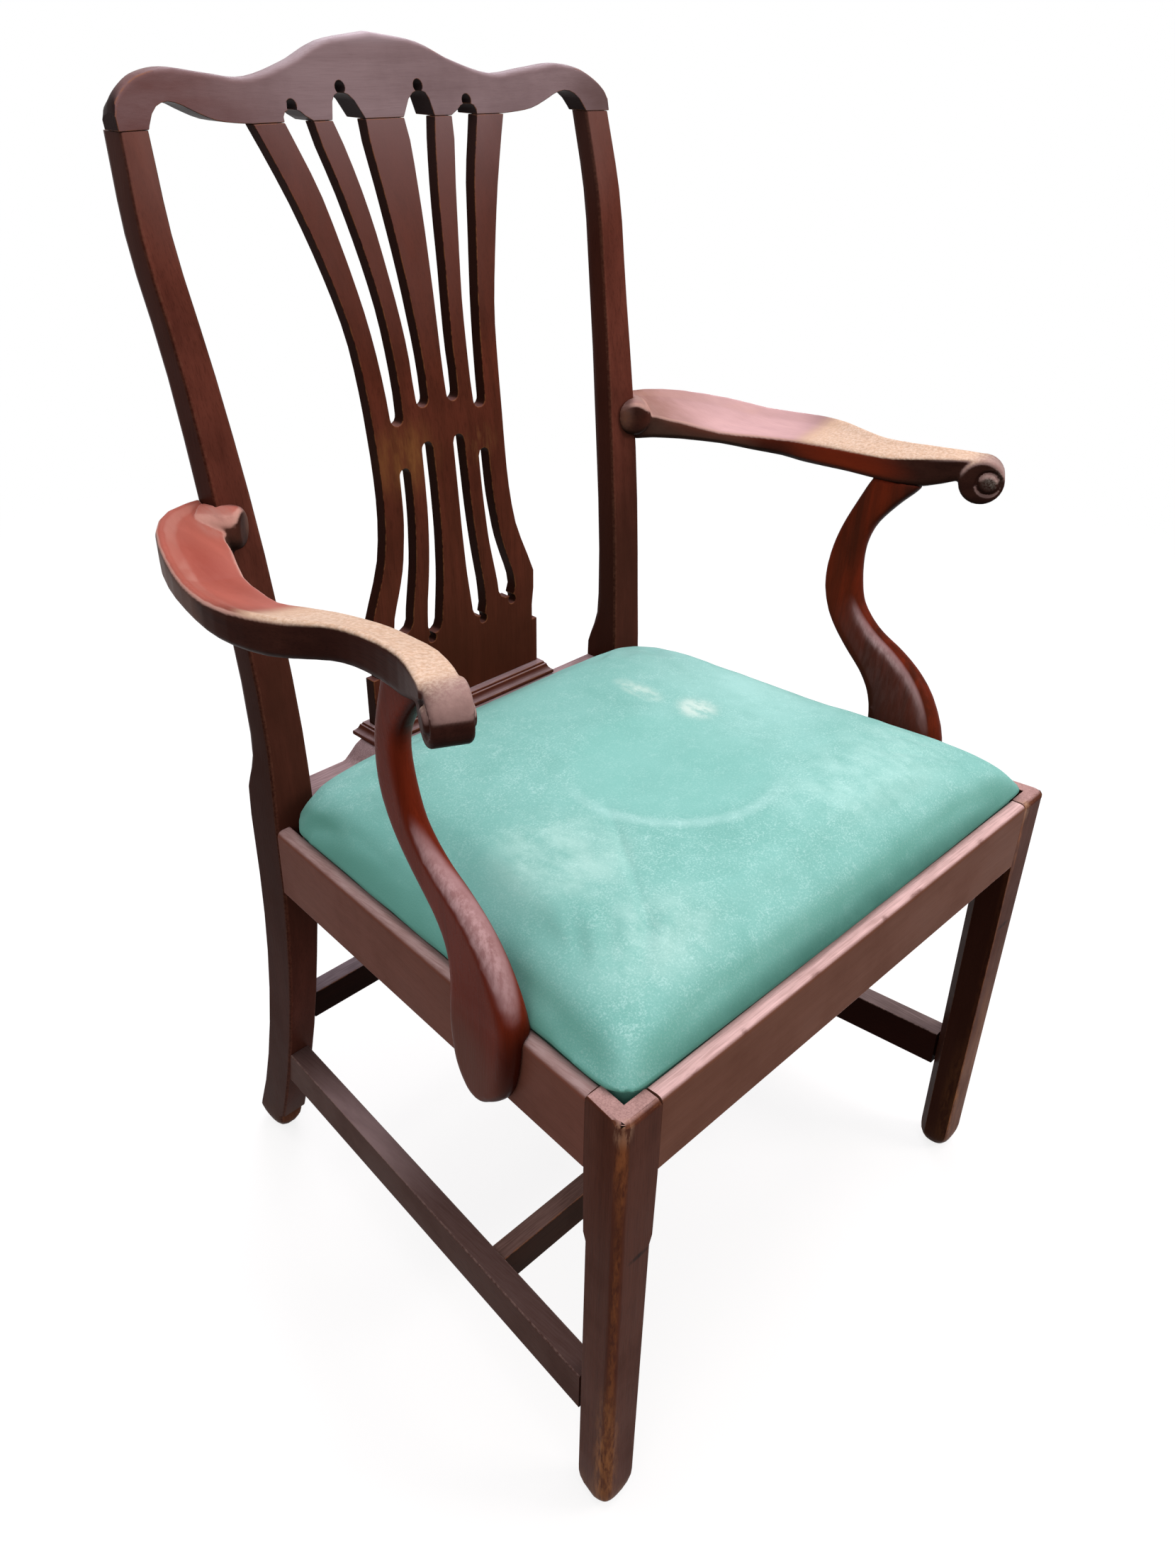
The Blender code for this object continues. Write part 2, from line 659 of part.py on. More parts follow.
def post_tenon(word, side, grow=0.0):
    """Square tenon from a post up into the crest."""
    inner, outer, depth = post_edges(CREST_JOINT)
    x = side * (inner + outer) / 2
    y = post_front(CREST_JOINT) + depth / 2
    half = POST_TENON / 2 + grow
    outline = rectangle(x - half, x + half, y - half, y + half)
    low = CREST_JOINT - POST_TENON_HEIGHT
    kind = "mortise" if grow else "tenon"

    def place(a, b, z):
        return Vector((a, b, z))

    return prism(f"post_{kind}_{word}", outline, place, low, CREST_JOINT + POST_TENON_HEIGHT + grow)


def back_post(word, side, tools):
    post = wooden(loft(f"back_post_{word}", post_rings(side)))
    join(post, post_tenon(word, side))
    for tool in tools:
        cut(post, tool)


# Back

def crest_rail(tools):
    half = crest_half_width()
    splat_edge, inner = SPLAT_EDGE[-1][1], post_edges(CREST_JOINT)[0]
    stations = {half * math.sin(math.pi / 2 * i / CREST_STEPS) for i in range(CREST_STEPS + 1)}
    stations |= {splat_edge, inner}
    stations = sorted({-x for x in stations} | stations)
    rings = []
    for x in stations:
        low = max(curve_at(CREST_ARCH, (abs(x) - splat_edge) / (inner - splat_edge)), 0)
        high = curve_at(CREST_TOPS, abs(x) / half)
        soft = min(1, (high - low) / CREST_FULL_EDGE)
        deep = CREST_THICKNESS - CREST_END_THINNING * (abs(x) / half) ** 6
        points = [(0, low)]
        points += [(inward, high - drop * soft) for inward, drop in CREST_FRONT_EDGE]
        points.append((deep * 0.45, high))
        points += [(deep - inward, high - drop * soft) for inward, drop in CREST_BACK_EDGE]
        points.append((deep, low))
        front = crest_front(x)
        rings.append([Vector((x, front + y + CREST_LEAN * z, CREST_JOINT + z)) for y, z in points])
    crest = wooden(loft("crest_rail", rings))
    for tool in tools:
        cut(crest, tool)


def arc_points(x, z, radius, start, end, steps):
    """Points of an arc from one angle to another, in degrees."""
    points = []
    for i in range(steps + 1):
        angle = math.radians(start + (end - start) * i / steps)
        points.append((x + radius * math.cos(angle), z + radius * math.sin(angle)))
    return points


def slot_edges(slot, low, high):
    """Left and right edges of a slot, from low to high, as shares of the splat height."""
    centre = [(share, x) for share, x, _ in slot]
    half = [(share, width) for share, _, width in slot]
    shares = [low + (high - low) * i / SLOT_STEPS for i in range(SLOT_STEPS + 1)]
    left = [(curve_at(centre, s) - curve_at(half, s), splat_height(s)) for s in shares]
    right = [(curve_at(centre, s) + curve_at(half, s), splat_height(s)) for s in shares]
    return left, right


def upper_slot(slot):
    """Slot open to the top edge: down its left side, round its foot and up its right side."""
    left, right = slot_edges(slot, slot[0][0], 1)
    x = (left[0][0] + right[0][0]) / 2
    radius = (right[0][0] - left[0][0]) / 2
    foot = arc_points(x, left[0][1], radius, 180, 360, 8)
    return left[:0:-1] + foot + right[1:]


def lower_slot(slot, lobe):
    """Closed slot with a round head and a small keyhole lobe at its foot."""
    left, right = slot_edges(slot, slot[0][0], slot[-1][0])
    x = (left[-1][0] + right[-1][0]) / 2
    radius = (right[-1][0] - left[-1][0]) / 2
    head = arc_points(x, left[-1][1], radius, 180, 0, 8)
    lobe_x, lobe_z = lobe[0], splat_height(lobe[1])
    foot = arc_points(lobe_x, lobe_z, LOBE_RADIUS, 65, -235, 12)
    low_x, low_z = left[0]
    first_x, first_z = foot[-1]
    bend = [
        (low_x + 0.22 * (first_x - low_x), low_z + 0.62 * (first_z - low_z)),
        (low_x + 0.58 * (first_x - low_x), low_z + 0.95 * (first_z - low_z)),
    ]
    return left[::-1] + bend + foot[::-1] + right + head[:0:-1][:-1]


def mirrored(points):
    return [(-x, z) for x, z in reversed(points)]


def splat_outline():
    """Outer edge of the splat, with the upper slots as notches in its top."""
    shares = [SPLAT_EDGE[0][0] + (1 - SPLAT_EDGE[0][0]) * i / 24 for i in range(25)]
    right = [(SPLAT_BASE_HALF, splat_height(0)), (SPLAT_BASE_HALF, splat_height(SPLAT_BASE_TOP))]
    right.append((SPLAT_EDGE[0][1], splat_height(SPLAT_BASE_TOP)))
    right += [(curve_at(SPLAT_EDGE, s), splat_height(s)) for s in shares]
    inner, outer = upper_slot(INNER_UPPER_SLOT), upper_slot(OUTER_UPPER_SLOT)
    top = outer[::-1] + inner[::-1]
    return right + top + mirrored(top) + mirrored(right)


def splat(foot_tools):
    curve = bpy.data.curves.new("splat_outline", "CURVE")
    curve.dimensions = "2D"
    curve.fill_mode = "BOTH"
    curve.extrude = SPLAT_THICKNESS / 2
    inner = lower_slot(INNER_LOWER_SLOT, INNER_LOBE)
    outer = lower_slot(OUTER_LOWER_SLOT, OUTER_LOBE)
    for outline in (splat_outline(), inner, outer, mirrored(inner), mirrored(outer)):
        spline = curve.splines.new("POLY")
        spline.points.add(len(outline) - 1)
        spline.use_cyclic_u = True
        for point, (x, z) in zip(spline.points, outline):
            point.co = (x, z, 0, 1)
    drawn = bpy.data.objects.new("splat_outline", curve)
    flat = bpy.data.meshes.new_from_object(drawn)
    bpy.data.objects.remove(drawn)
    bm = bmesh.new()
    bm.from_mesh(flat)
    bmesh.ops.remove_doubles(bm, verts=bm.verts, dist=1e-5)
    for i in range(1, SPLAT_STATIONS):
        bmesh.ops.bisect_plane(
            bm,
            geom=bm.verts[:] + bm.edges[:] + bm.faces[:],
            dist=1e-6,
            plane_co=(0, splat_height(i / SPLAT_STATIONS), 0),
            plane_no=(0, 1, 0),
        )
    for vert in bm.verts:
        x, z, depth = vert.co
        vert.co = (x, splat_front(x, z) + SPLAT_THICKNESS / 2 - depth, z)
    board = wooden(add_mesh("splat", bm))
    for tool in foot_tools:
        join(board, tool)


def splat_tenons(grow=0.0):
    """Stub tenons on the top of the splat, or the mortises for them."""
    made = []
    kind = "mortise" if grow else "tenon"
    margin = (SPLAT_THICKNESS - SPLAT_TENON_THICKNESS) / 2 - grow
    heights = (-SPLAT_TENON_HEIGHT, 0, SPLAT_TENON_HEIGHT + grow)
    for i, (middle, half) in enumerate(SPLAT_TENONS):
        rings = []
        for rise in heights:
            front = splat_front(middle, CREST_JOINT + rise) + margin + CREST_LEAN * max(rise, 0)
            back = front + SPLAT_TENON_THICKNESS + 2 * grow
            outline = rectangle(middle - half - grow, middle + half + grow, front, back)
            rings.append([Vector((x, y, CREST_JOINT + rise)) for x, y in outline])
        made.append(loft(f"splat_{kind}_{i}", rings))
    return made


def splat_foot(grow=0.0):
    """Tenon under the splat, or the slot for it in the shoe."""
    half = SPLAT_BASE_HALF - SPLAT_FOOT + grow
    front = splat_foot_front() + (SPLAT_THICKNESS - SPLAT_TENON_THICKNESS) / 2 - grow
    outline = rectangle(-half, half, shoe_top() - SPLAT_FOOT - grow, shoe_top() + SPLAT_FOOT)
    back = front + SPLAT_TENON_THICKNESS + 2 * grow
    return prism("splat_slot" if grow else "splat_foot", outline, upright, front, back)


def slot_head(name, slot, head):
    """Cutter for the head of a slot in the crest: shoulders drawn in to a round lobe."""
    _, mouth_x, mouth = slot[-1]
    shoulder_x, shoulder, rise, lobe_x, neck_rise, lobe_rise = head
    neck = math.sqrt(max(LOBE_RADIUS ** 2 - (lobe_rise - neck_rise) ** 2, 1e-8))
    swing = math.degrees(math.atan2(neck_rise - lobe_rise, neck))
    right = [
        (mouth_x + mouth, -SLOT_OVERRUN), (mouth_x + mouth, 0), (shoulder_x + shoulder, rise),
        (lobe_x + (shoulder + neck) / 2, rise + 0.75 * (neck_rise - rise)),
    ]
    left = [
        (lobe_x - (shoulder + neck) / 2, rise + 0.75 * (neck_rise - rise)), (shoulder_x - shoulder, rise),
        (mouth_x - mouth, 0), (mouth_x - mouth, -SLOT_OVERRUN),
    ]
    outline = right + arc_points(lobe_x, lobe_rise, LOBE_RADIUS, swing, 180 - swing, 12) + left
    near = crest_front(crest_half_width()) - CREST_THICKNESS
    far = crest_front(0) + 3 * CREST_THICKNESS
    made = []
    for sign, points in ((1, outline), (-1, mirrored(outline))):
        raised = [(x, CREST_JOINT + z) for x, z in points]
        made.append(prism(f"{name}_{sign}", raised, upright, near, far))
    return made


def back_rail_outline():
    """Front view of the back rail: its top rises in a cyma to carry the shoe."""
    seat = seat_back_height()
    end = post_edges(seat)[0] - GAP
    near, far = BACK_RAIL_CYMA
    top = [(end, seat + BACK_RAIL_END_RISE)]
    for i in range(9):
        share = i / 8
        ease = share * share * (3 - 2 * share)
        x = far + (near - far) * share
        top.append((x, seat + BACK_RAIL_END_RISE + (BACK_RAIL_RISE - BACK_RAIL_END_RISE) * ease))
    bottom = seat - RAIL_HEIGHT
    return [(-end, bottom), (end, bottom), *top, *mirrored(top)]


def back_rail():
    front = SEAT_DEPTH + BACK_RAIL_FRONT
    rail = wooden(
        prism("back_rail", back_rail_outline(), upright, front, front + BACK_RAIL_THICKNESS)
    )
    seat = seat_back_height()
    half = post_edges(seat)[0] - BLOCK_MARGIN
    high = rail_top(SEAT_DEPTH - LEDGE_WIDTH / 2) - REBATE_DEPTH - GAP
    ledge = rectangle(-half, half, high - LEDGE_HEIGHT, high)
    join(rail, prism("back_rail_ledge", ledge, upright, front - LEDGE_WIDTH, front + LEDGE_WIDTH / 2))
    join(rail, back_rail_tenons())


def back_rail_tenons(grow=0.0):
    seat = seat_back_height()
    reach = post_edges(seat)[0] + BACK_TENON + grow
    low, high = seat - RAIL_HEIGHT + TENON_SHOULDER - grow, seat - TENON_SHOULDER / 2 + grow
    middle = SEAT_DEPTH + BACK_RAIL_FRONT + BACK_RAIL_THICKNESS / 2
    half = TENON_THICKNESS / 2 + grow
    name = "back_rail_mortises" if grow else "back_rail_tenons"
    return prism(name, rectangle(-reach, reach, low, high), upright, middle - half, middle + half)


def shoe():
    base = seat_back_height() + BACK_RAIL_RISE + GAP
    rings = []
    for rise, out in SHOE_MOULDING:
        half = SHOE_HALF_LENGTH + out
        front = splat_foot_front() - SHOE_MARGIN - out
        back = splat_foot_front() + SPLAT_THICKNESS + SHOE_MARGIN + out
        z = base + SHOE_HEIGHT * rise / SHOE_MOULDING[-1][0]
        rings.append([Vector((x, y, z)) for x, y in rectangle(-half, half, front, back)])
    block = wooden(loft("shoe", rings))
    cut(block, splat_foot(GAP))


# Stretchers

def side_stretcher_place(side):
    """Section of a side stretcher: distance in from its outer face, and height."""
    middle = SIDE_STRETCHER_TOP - SIDE_STRETCHER_HEIGHT / 2
    front_x, back_x = rail_outer(LEG_SIZE), BACK_HALF_WIDTH
    back_y = post_front(middle)

    def place(inward, z, y):
        share = (y - LEG_SIZE) / (back_y - LEG_SIZE)
        outer = front_x + (back_x - front_x) * share - STRETCHER_INSET
        return Vector((side * (outer - inward), y, z))

    return place


def side_stretcher_ends():
    """Distances of the front leg's back face and the back leg's front face."""
    low, high = SIDE_STRETCHER_TOP - SIDE_STRETCHER_HEIGHT, SIDE_STRETCHER_TOP

    def back(_, z):
        return post_front(z) - 2 * GAP

    return LEG_SIZE + GAP, back, low, high


def side_stretcher(word, side, tools):
    place = side_stretcher_place(side)
    start, back, low, high = side_stretcher_ends()
    outline = rectangle(0, SIDE_STRETCHER_THICKNESS, low, high)
    bar = wooden(prism(f"side_stretcher_{word}", outline, place, start, back))
    join(bar, side_stretcher_tenons(word, side))
    for tool in tools:
        cut(bar, tool)


def side_stretcher_tenons(word, side, grow=0.0):
    place = side_stretcher_place(side)
    start, back, low, high = side_stretcher_ends()
    middle = SIDE_STRETCHER_THICKNESS / 2
    half = STRETCHER_TENON_THICKNESS / 2 + grow
    low, high = low + STRETCHER_SHOULDER - grow, high - STRETCHER_SHOULDER + grow
    end = back(0, high) + STRETCHER_TENON + grow
    kind = "mortises" if grow else "tenons"
    name = f"side_stretcher_{kind}_{word}"
    return prism(name, rectangle(middle - half, middle + half, low, high), place,
                 start - STRETCHER_TENON - grow, end)


def cross_stretcher():
    low, high = CROSS_STRETCHER_TOP - CROSS_STRETCHER_HEIGHT, CROSS_STRETCHER_TOP
    near, far = CROSS_STRETCHER_FRONT, CROSS_STRETCHER_FRONT + CROSS_STRETCHER_THICKNESS
    place = side_stretcher_place(1)

    def end(sign):
        def stop(y, z):
            return sign * (place(SIDE_STRETCHER_THICKNESS, z, y).x - GAP)

        return stop

    bar = wooden(prism("cross_stretcher", rectangle(near, far, low, high), across, end(-1), end(1)))
    join(bar, cross_tenons())


def cross_tenons(grow=0.0):
    low = CROSS_STRETCHER_TOP - CROSS_STRETCHER_HEIGHT + STRETCHER_SHOULDER - grow
    high = CROSS_STRETCHER_TOP - STRETCHER_SHOULDER + grow
    middle = CROSS_STRETCHER_FRONT + CROSS_STRETCHER_THICKNESS / 2
    half = STRETCHER_TENON_THICKNESS / 2 + grow
    inner = side_stretcher_place(1)(SIDE_STRETCHER_THICKNESS, low, middle).x
    reach = inner + CROSS_TENON + grow
    name = "cross_mortises" if grow else "cross_tenons"
    return prism(name, rectangle(-reach, reach, low, high), upright, middle - half, middle + half)


def back_stretcher():
    low, high = BACK_STRETCHER_TOP - BACK_STRETCHER_HEIGHT, BACK_STRETCHER_TOP
    near = post_front(high) + BACK_STRETCHER_SETBACK
    far = near + BACK_STRETCHER_THICKNESS

    def end(sign):
        def stop(_, z):
            return sign * (post_edges(z)[0] - 2 * GAP)

        return stop

    bar = wooden(prism("back_stretcher", rectangle(near, far, low, high), across, end(-1), end(1)))
    join(bar, back_stretcher_tenons())


def back_stretcher_tenons(grow=0.0):
    low = BACK_STRETCHER_TOP - BACK_STRETCHER_HEIGHT + STRETCHER_SHOULDER - grow
    high = BACK_STRETCHER_TOP - STRETCHER_SHOULDER + grow
    middle = post_front(BACK_STRETCHER_TOP) + BACK_STRETCHER_SETBACK + BACK_STRETCHER_THICKNESS / 2
    half = STRETCHER_TENON_THICKNESS / 2 + grow
    reach = post_edges(high)[0] + BACK_STRETCHER_TENON + grow
    name = "back_stretcher_mortises" if grow else "back_stretcher_tenons"
    return prism(name, rectangle(-reach, reach, low, high), upright, middle - half, middle + half)


# Arms and their supports

def arm_point(out, ahead, rise):
    """Point by the right arm: out from the rail line, ahead of the post, above the arm level."""
    y = SEAT_DEPTH - ahead
    return Vector((rail_outer(y) + out, y, ARM_LEVEL + rise))


def arm_section(width, inner_z, outer_z, low):
    """Section of an arm, as distance from its inner edge and height: dished top, rounded edges."""
    dish = ARM_DISH * min(1, width / ARM_FULL_WIDTH) ** 4
    height = min(inner_z, outer_z) - low
    edge = ARM_EDGE_ROUND * min(1, width / ARM_FULL_WIDTH)
    soft, drop = edge * 0.27, edge * 0.31
    side_low = min(ARM_UNDER_ROUND, height * 0.4)
    curve_low = min(ARM_UNDER_CURVE, height * 0.15)
    outer_low = low + ARM_TILT * (outer_z - inner_z)
    section = [(0, inner_z - edge), (soft, inner_z - drop), (edge, inner_z)]
    for share, depth in ((0.3, 1), (0.5, 1.2), (0.7, 1)):
        section.append((width * share, inner_z + (outer_z - inner_z) * share - dish * depth))
    section += [(width - edge, outer_z), (width - soft, outer_z - drop), (width, outer_z - edge)]
    section += [(width, outer_low + side_low), (width * 0.93, outer_low + curve_low)]
    section += [(width * 0.72, outer_low), (width * 0.28, low)]
    section += [(width * 0.07, low + curve_low), (0, low + side_low)]
    return section


def arm_rings(side, grow=0.0):
    """Rings from the post to the scroll."""
    rings = []
    for row in smooth_rows(ARM_ROWS, ARM_STEPS):
        inner, outer, low = arm_point(*row[:3]), arm_point(*row[3:6]), ARM_LEVEL + row[6]
        inner_z, outer_z = inner.z, outer.z
        inner.z = outer.z = 0
        span = outer - inner
        centre = inner + span / 2 + Vector((0, 0, (inner_z + outer_z) / 4 + low / 2))
        ring = []
        for distance, z in arm_section(span.length, inner_z, outer_z, low):
            point = inner + span * (distance / span.length) + Vector((0, 0, z))
            point += (point - centre).normalized() * grow
            ring.append(mirror_point(point, side))
        rings.append(ring)
    return rings


def support_place(side):
    """Place along a support: distance out from the rail's outer face, in side view."""
    def place(y, z, out):
        lean = SUPPORT_LEAN * max(z - rail_top(y), 0)
        return Vector((side * (rail_outer(y) + out + lean), y, z))

    return place


def support_section(length, outer):
    """Section of a support, as share of the way from front to rear and distance out."""
    inner = -SUPPORT_INNER
    most = (outer - inner) * 0.45
    front = min(SUPPORT_FRONT_ROUND, length * 0.42, most)
    rear = min(SUPPORT_REAR_ROUND, length * 0.42, most)
    arc = quarter_round()
    section = [(front * b / length, inner + front * a) for a, b in arc]
    section += [(front * b / length, outer - front * a) for a, b in arc[::-1]]
    section += [(1 - rear * b / length, outer - rear * a) for a, b in arc]
    section += [(1 - rear * b / length, inner + rear * a) for a, b in arc[::-1]]
    return section


def support_rings(side):
    place = support_place(side)
    rings = []
    for front_ahead, front_share, rear_ahead, rear_share in smooth_rows(SUPPORT_ROWS, 2):
        front = Vector((SEAT_DEPTH - front_ahead, RAIL_TOP + (ARM_LEVEL - RAIL_TOP) * front_share))
        rear = Vector((SEAT_DEPTH - rear_ahead, RAIL_TOP + (ARM_LEVEL - RAIL_TOP) * rear_share))
        outer = curve_at(SUPPORT_OUTER, (front_share + rear_share) / 2)
        section = support_section((rear - front).length, outer)
        rings.append([place(*front.lerp(rear, share), out) for share, out in section])
    return rings


def support_tenon(word, side, grow=0.0):
    """Tenon from a support up into its arm, or the mortise for it."""
    place = support_place(side)
    near, far = SEAT_DEPTH - SUPPORT_TENON[1], SEAT_DEPTH - SUPPORT_TENON[0]
    middle = (SUPPORT_OUTER[-1][1] - SUPPORT_INNER) / 2
    half = SUPPORT_TENON_THICKNESS / 2 + grow
    low = ARM_LEVEL - SUPPORT_TENON_HEIGHT
    underside = curve_at([(row[1], row[6]) for row in ARM_ROWS], sum(SUPPORT_TENON) / 2)
    high = ARM_LEVEL + underside + SUPPORT_TENON_HEIGHT + grow
    kind = "mortise" if grow else "tenon"
    outline = rectangle(near - grow, far + grow, low, high)
    return prism(f"support_{kind}_{word}", outline, place, middle - half, middle + half)


def rail_lap(word, side):
    """Space that the side rail takes out of its arm support."""
    place = side_rail_place(side)
    arc = [(RAIL_ROUND * a - GAP, GAP - RAIL_ROUND * b) for a, b in quarter_round()]
    inside = RAIL_THICKNESS + SUPPORT_INNER
    outline = [(-GAP, -2 * RAIL_HEIGHT), *arc, (inside, GAP), (inside, -2 * RAIL_HEIGHT)]
    return prism(f"rail_lap_{word}", outline, place, LEG_SIZE, SEAT_DEPTH)


def mirror_point(point, side):
    return Vector((side * point[0], point[1], point[2]))


def both_ways(profile):
    """Turned profile repeated on both sides of its start."""
    return [(-distance, radius) for distance, radius in profile] + list(reversed(profile))


def arm(word, side, post_lap, tools):
    body = wooden(loft(f"arm_{word}", arm_rings(side)), WORN_MAHOGANY, smooth=True)
    axis = mirror_point(SCROLL_AXIS, side)
    centre = mirror_point(arm_point(*SCROLL_CENTRE), side)
    join(body, turned(f"scroll_{word}", centre, axis, both_ways(SCROLL_PROFILE), segments=28))
    forward = mirror_point((SCROLL_AXIS[1], -SCROLL_AXIS[0], 0), side).normalized()
    eye = centre + forward * SCROLL_EYE_OFFSET
    face = SCROLL_PROFILE[0][0]
    for end in (-1, 1):
        moat = [(end * (face - SCROLL_MOAT_DEPTH), SCROLL_MOAT_RADIUS), (end * 2 * face, SCROLL_MOAT_RADIUS)]
        cut(body, turned(f"scroll_moat_{word}_{end}", eye, axis, moat, segments=20))
    join(body, turned(f"scroll_eye_{word}", eye, axis, both_ways(SCROLL_EYE_PROFILE), segments=20))
    knob_face = mirror_point(arm_point(*KNOB_FACE), side)
    join(body, turned(f"knob_{word}", knob_face, mirror_point(KNOB_AXIS, side), KNOB_PROFILE, segments=20))
    cut(body, post_lap)
    for tool in tools:
        cut(body, tool)


def arm_support(word, side, tools):
    body = wooden(loft(f"arm_support_{word}", support_rings(side)), smooth=True)
    cut(body, rail_lap(word, side))
    cut(body, loft(f"arm_seat_{word}", arm_rings(side, GAP)))
    join(body, support_tenon(word, side))
    for tool in tools:
        cut(body, tool)


# Screws and corner blocks

def support_screw(word, side, spot, tool=False):
    """Screw through the side rail into the outer cheek of the arm support, or its hole."""
    ahead, below = SUPPORT_SCREWS[spot]
    y = SEAT_DEPTH - ahead
    start = Vector((side * (rail_outer(y) - RAIL_THICKNESS), y, rail_top(y) - below))
    return screw(f"support_screw_{word}_{spot}", start, Vector((side, 0, 0)), tool)


def screw(name, start, axis, tool):
    if tool:
        sink = [(-SCREW_HOLE_REACH, SCREW_PROFILE[0][1]), (SCREW_PROFILE[1][0], SCREW_PROFILE[1][1])]
        profile = sink + list(SCREW_PROFILE[2:4]) + [(SCREW_PROFILE[-1][0] + GAP, SCREW_PROFILE[3][1])]
        return turned(name + "_hole", start, axis, profile, grow=GAP)
    return make_piece(turned(name, start, axis, SCREW_PROFILE), STEEL, 0.45, 0.9, smooth=False)


def arm_screw(word, side, tool=False):
    """Screw from behind the post into the end of the arm, or its hole."""
    z = ARM_LEVEL + ARM_SCREW_RISE
    _, outer, depth = post_edges(z)
    start = Vector((side * (outer - ARM_SCREW_INSET), post_front(z) + depth - ARM_SCREW_SINK, z))
    return screw(f"arm_screw_{word}", start, Vector((0, -1, 0)), tool)


def corner_blocks(word, side):
    def inner(y):
        return rail_outer(y) - RAIL_THICKNESS - GAP

    def place(x, y, height):
        return Vector((side * x, y, rail_top(y) - REBATE_DEPTH - GAP + height))

    leg = FRONT_HALF_WIDTH - LEG_SIZE
    front = RAIL_THICKNESS + GAP
    near = LEG_SIZE + BLOCK_MARGIN
    outline = [
        (leg - BLOCK_MARGIN - BLOCK_REACH, front), (leg - BLOCK_MARGIN, front),
        (inner(near), near), (inner(near + BLOCK_REACH), near + BLOCK_REACH),
    ]
    wooden(prism(f"corner_block_front_{word}", outline, place, -BLOCK_HEIGHT, -GAP), BEECH)
    back = SEAT_DEPTH + BACK_RAIL_FRONT - LEDGE_WIDTH - GAP
    far = back - BLOCK_MARGIN
    post = post_edges(seat_back_height())[0] - BLOCK_MARGIN
    outline = [
        (inner(far - BLOCK_REACH), far - BLOCK_REACH), (inner(far), far),
        (post, back), (post - BLOCK_REACH, back),
    ]
    wooden(prism(f"corner_block_back_{word}", outline, place, -BLOCK_HEIGHT, -GAP), BEECH)


# Drop-in seat

def seat_half(y, inset):
    return rail_outer(y) - LIP_WIDTH - SEAT_CLEARANCE - inset


def seat_front(inset):
    return LIP_WIDTH + SEAT_CLEARANCE + inset


def seat_rear(inset):
    return SEAT_DEPTH - SEAT_CLEARANCE - inset


def seat_place(x, y, height):
    """Place in the seat: heights follow the slope of the rails."""
    return Vector((x, y, rail_top(y) - REBATE_DEPTH + GAP + height))


def seat_ring(inset, height, corner):
    """Ring of the seat's plan, drawn in by inset, with rounded corners."""
    near, far = seat_front(inset), seat_rear(inset)
    corners = [
        (-seat_half(near, inset), near), (seat_half(near, inset), near),
        (seat_half(far, inset), far), (-seat_half(far, inset), far),
    ]
    ring = []
    for i, (x, y) in enumerate(corners):
        here = Vector((x, y))
        before = (Vector(corners[i - 1]) - here).normalized()
        after_corner = Vector(corners[(i + 1) % 4])
        after = (after_corner - here).normalized()
        for k in range(RING_CORNER_POINTS):
            u = k / (RING_CORNER_POINTS - 1)
            ring.append(here + before * corner * (1 - u) ** 2 + after * corner * u ** 2)
        start = here + after * corner
        end = after_corner - after * corner
        for k in range(1, RING_SIDE_POINTS + 1):
            ring.append(start.lerp(end, k / (RING_SIDE_POINTS + 1)))
    return [seat_place(x, y, height) for x, y in ring]


def bar_low():
    return CLOTH + GAP


def bar_high():
    return bar_low() + BAR_THICKNESS


def seat_frame():
    inset = CLOTH + GAP
    near, far = seat_front(inset), seat_rear(inset)

    def bar(name, edge, inward):
        """Front or back bar from the seat's edge inwards, with its two outer corners cut."""
        corner = edge + BAR_CORNER * inward
        within = edge + BAR_WIDTH * inward
        right = [
            (seat_half(edge, inset) - BAR_CORNER, edge), (seat_half(corner, inset), corner),
            (seat_half(within, inset), within),
        ]
        return wooden(prism(name, right + mirrored(right), seat_place, bar_low(), bar_high()), BEECH)

    front = bar("seat_bar_front", near, 1)
    back = bar("seat_bar_back", far, -1)
    low_y, high_y = near + BAR_WIDTH + GAP, far - BAR_WIDTH - GAP
    for word, side in SIDES.items():
        outer_near, outer_far = seat_half(low_y, inset), seat_half(high_y, inset)
        outline = [
            (side * outer_near, low_y), (side * outer_far, high_y),
            (side * (outer_far - BAR_WIDTH), high_y), (side * (outer_near - BAR_WIDTH), low_y),
        ]
        bar_side = wooden(prism(f"seat_bar_{word}", outline, seat_place, bar_low(), bar_high()), BEECH)
        join(bar_side, seat_bar_tenon(word, side, low_y, high_y))
        mortise = seat_bar_tenon(word, side, low_y, high_y, GAP)
        cut(front, mortise)
        cut(back, mortise)


def seat_bar_tenon(word, side, low_y, high_y, grow=0.0):
    inset = CLOTH + GAP
    start, end = low_y - BAR_TENON - grow, high_y + BAR_TENON + grow
    reach = BAR_WIDTH * 0.25 - grow
    outline = []
    for y, inward in ((start, reach), (end, reach), (end, BAR_WIDTH - reach), (start, BAR_WIDTH - reach)):
        outline.append((side * (seat_half(y, inset) - inward), y))
    middle = (bar_low() + bar_high()) / 2
    half = BAR_TENON_THICKNESS / 2 + grow
    kind = "mortise" if grow else "tenon"
    return prism(f"seat_bar_{kind}_{word}", outline, seat_place, middle - half, middle + half)


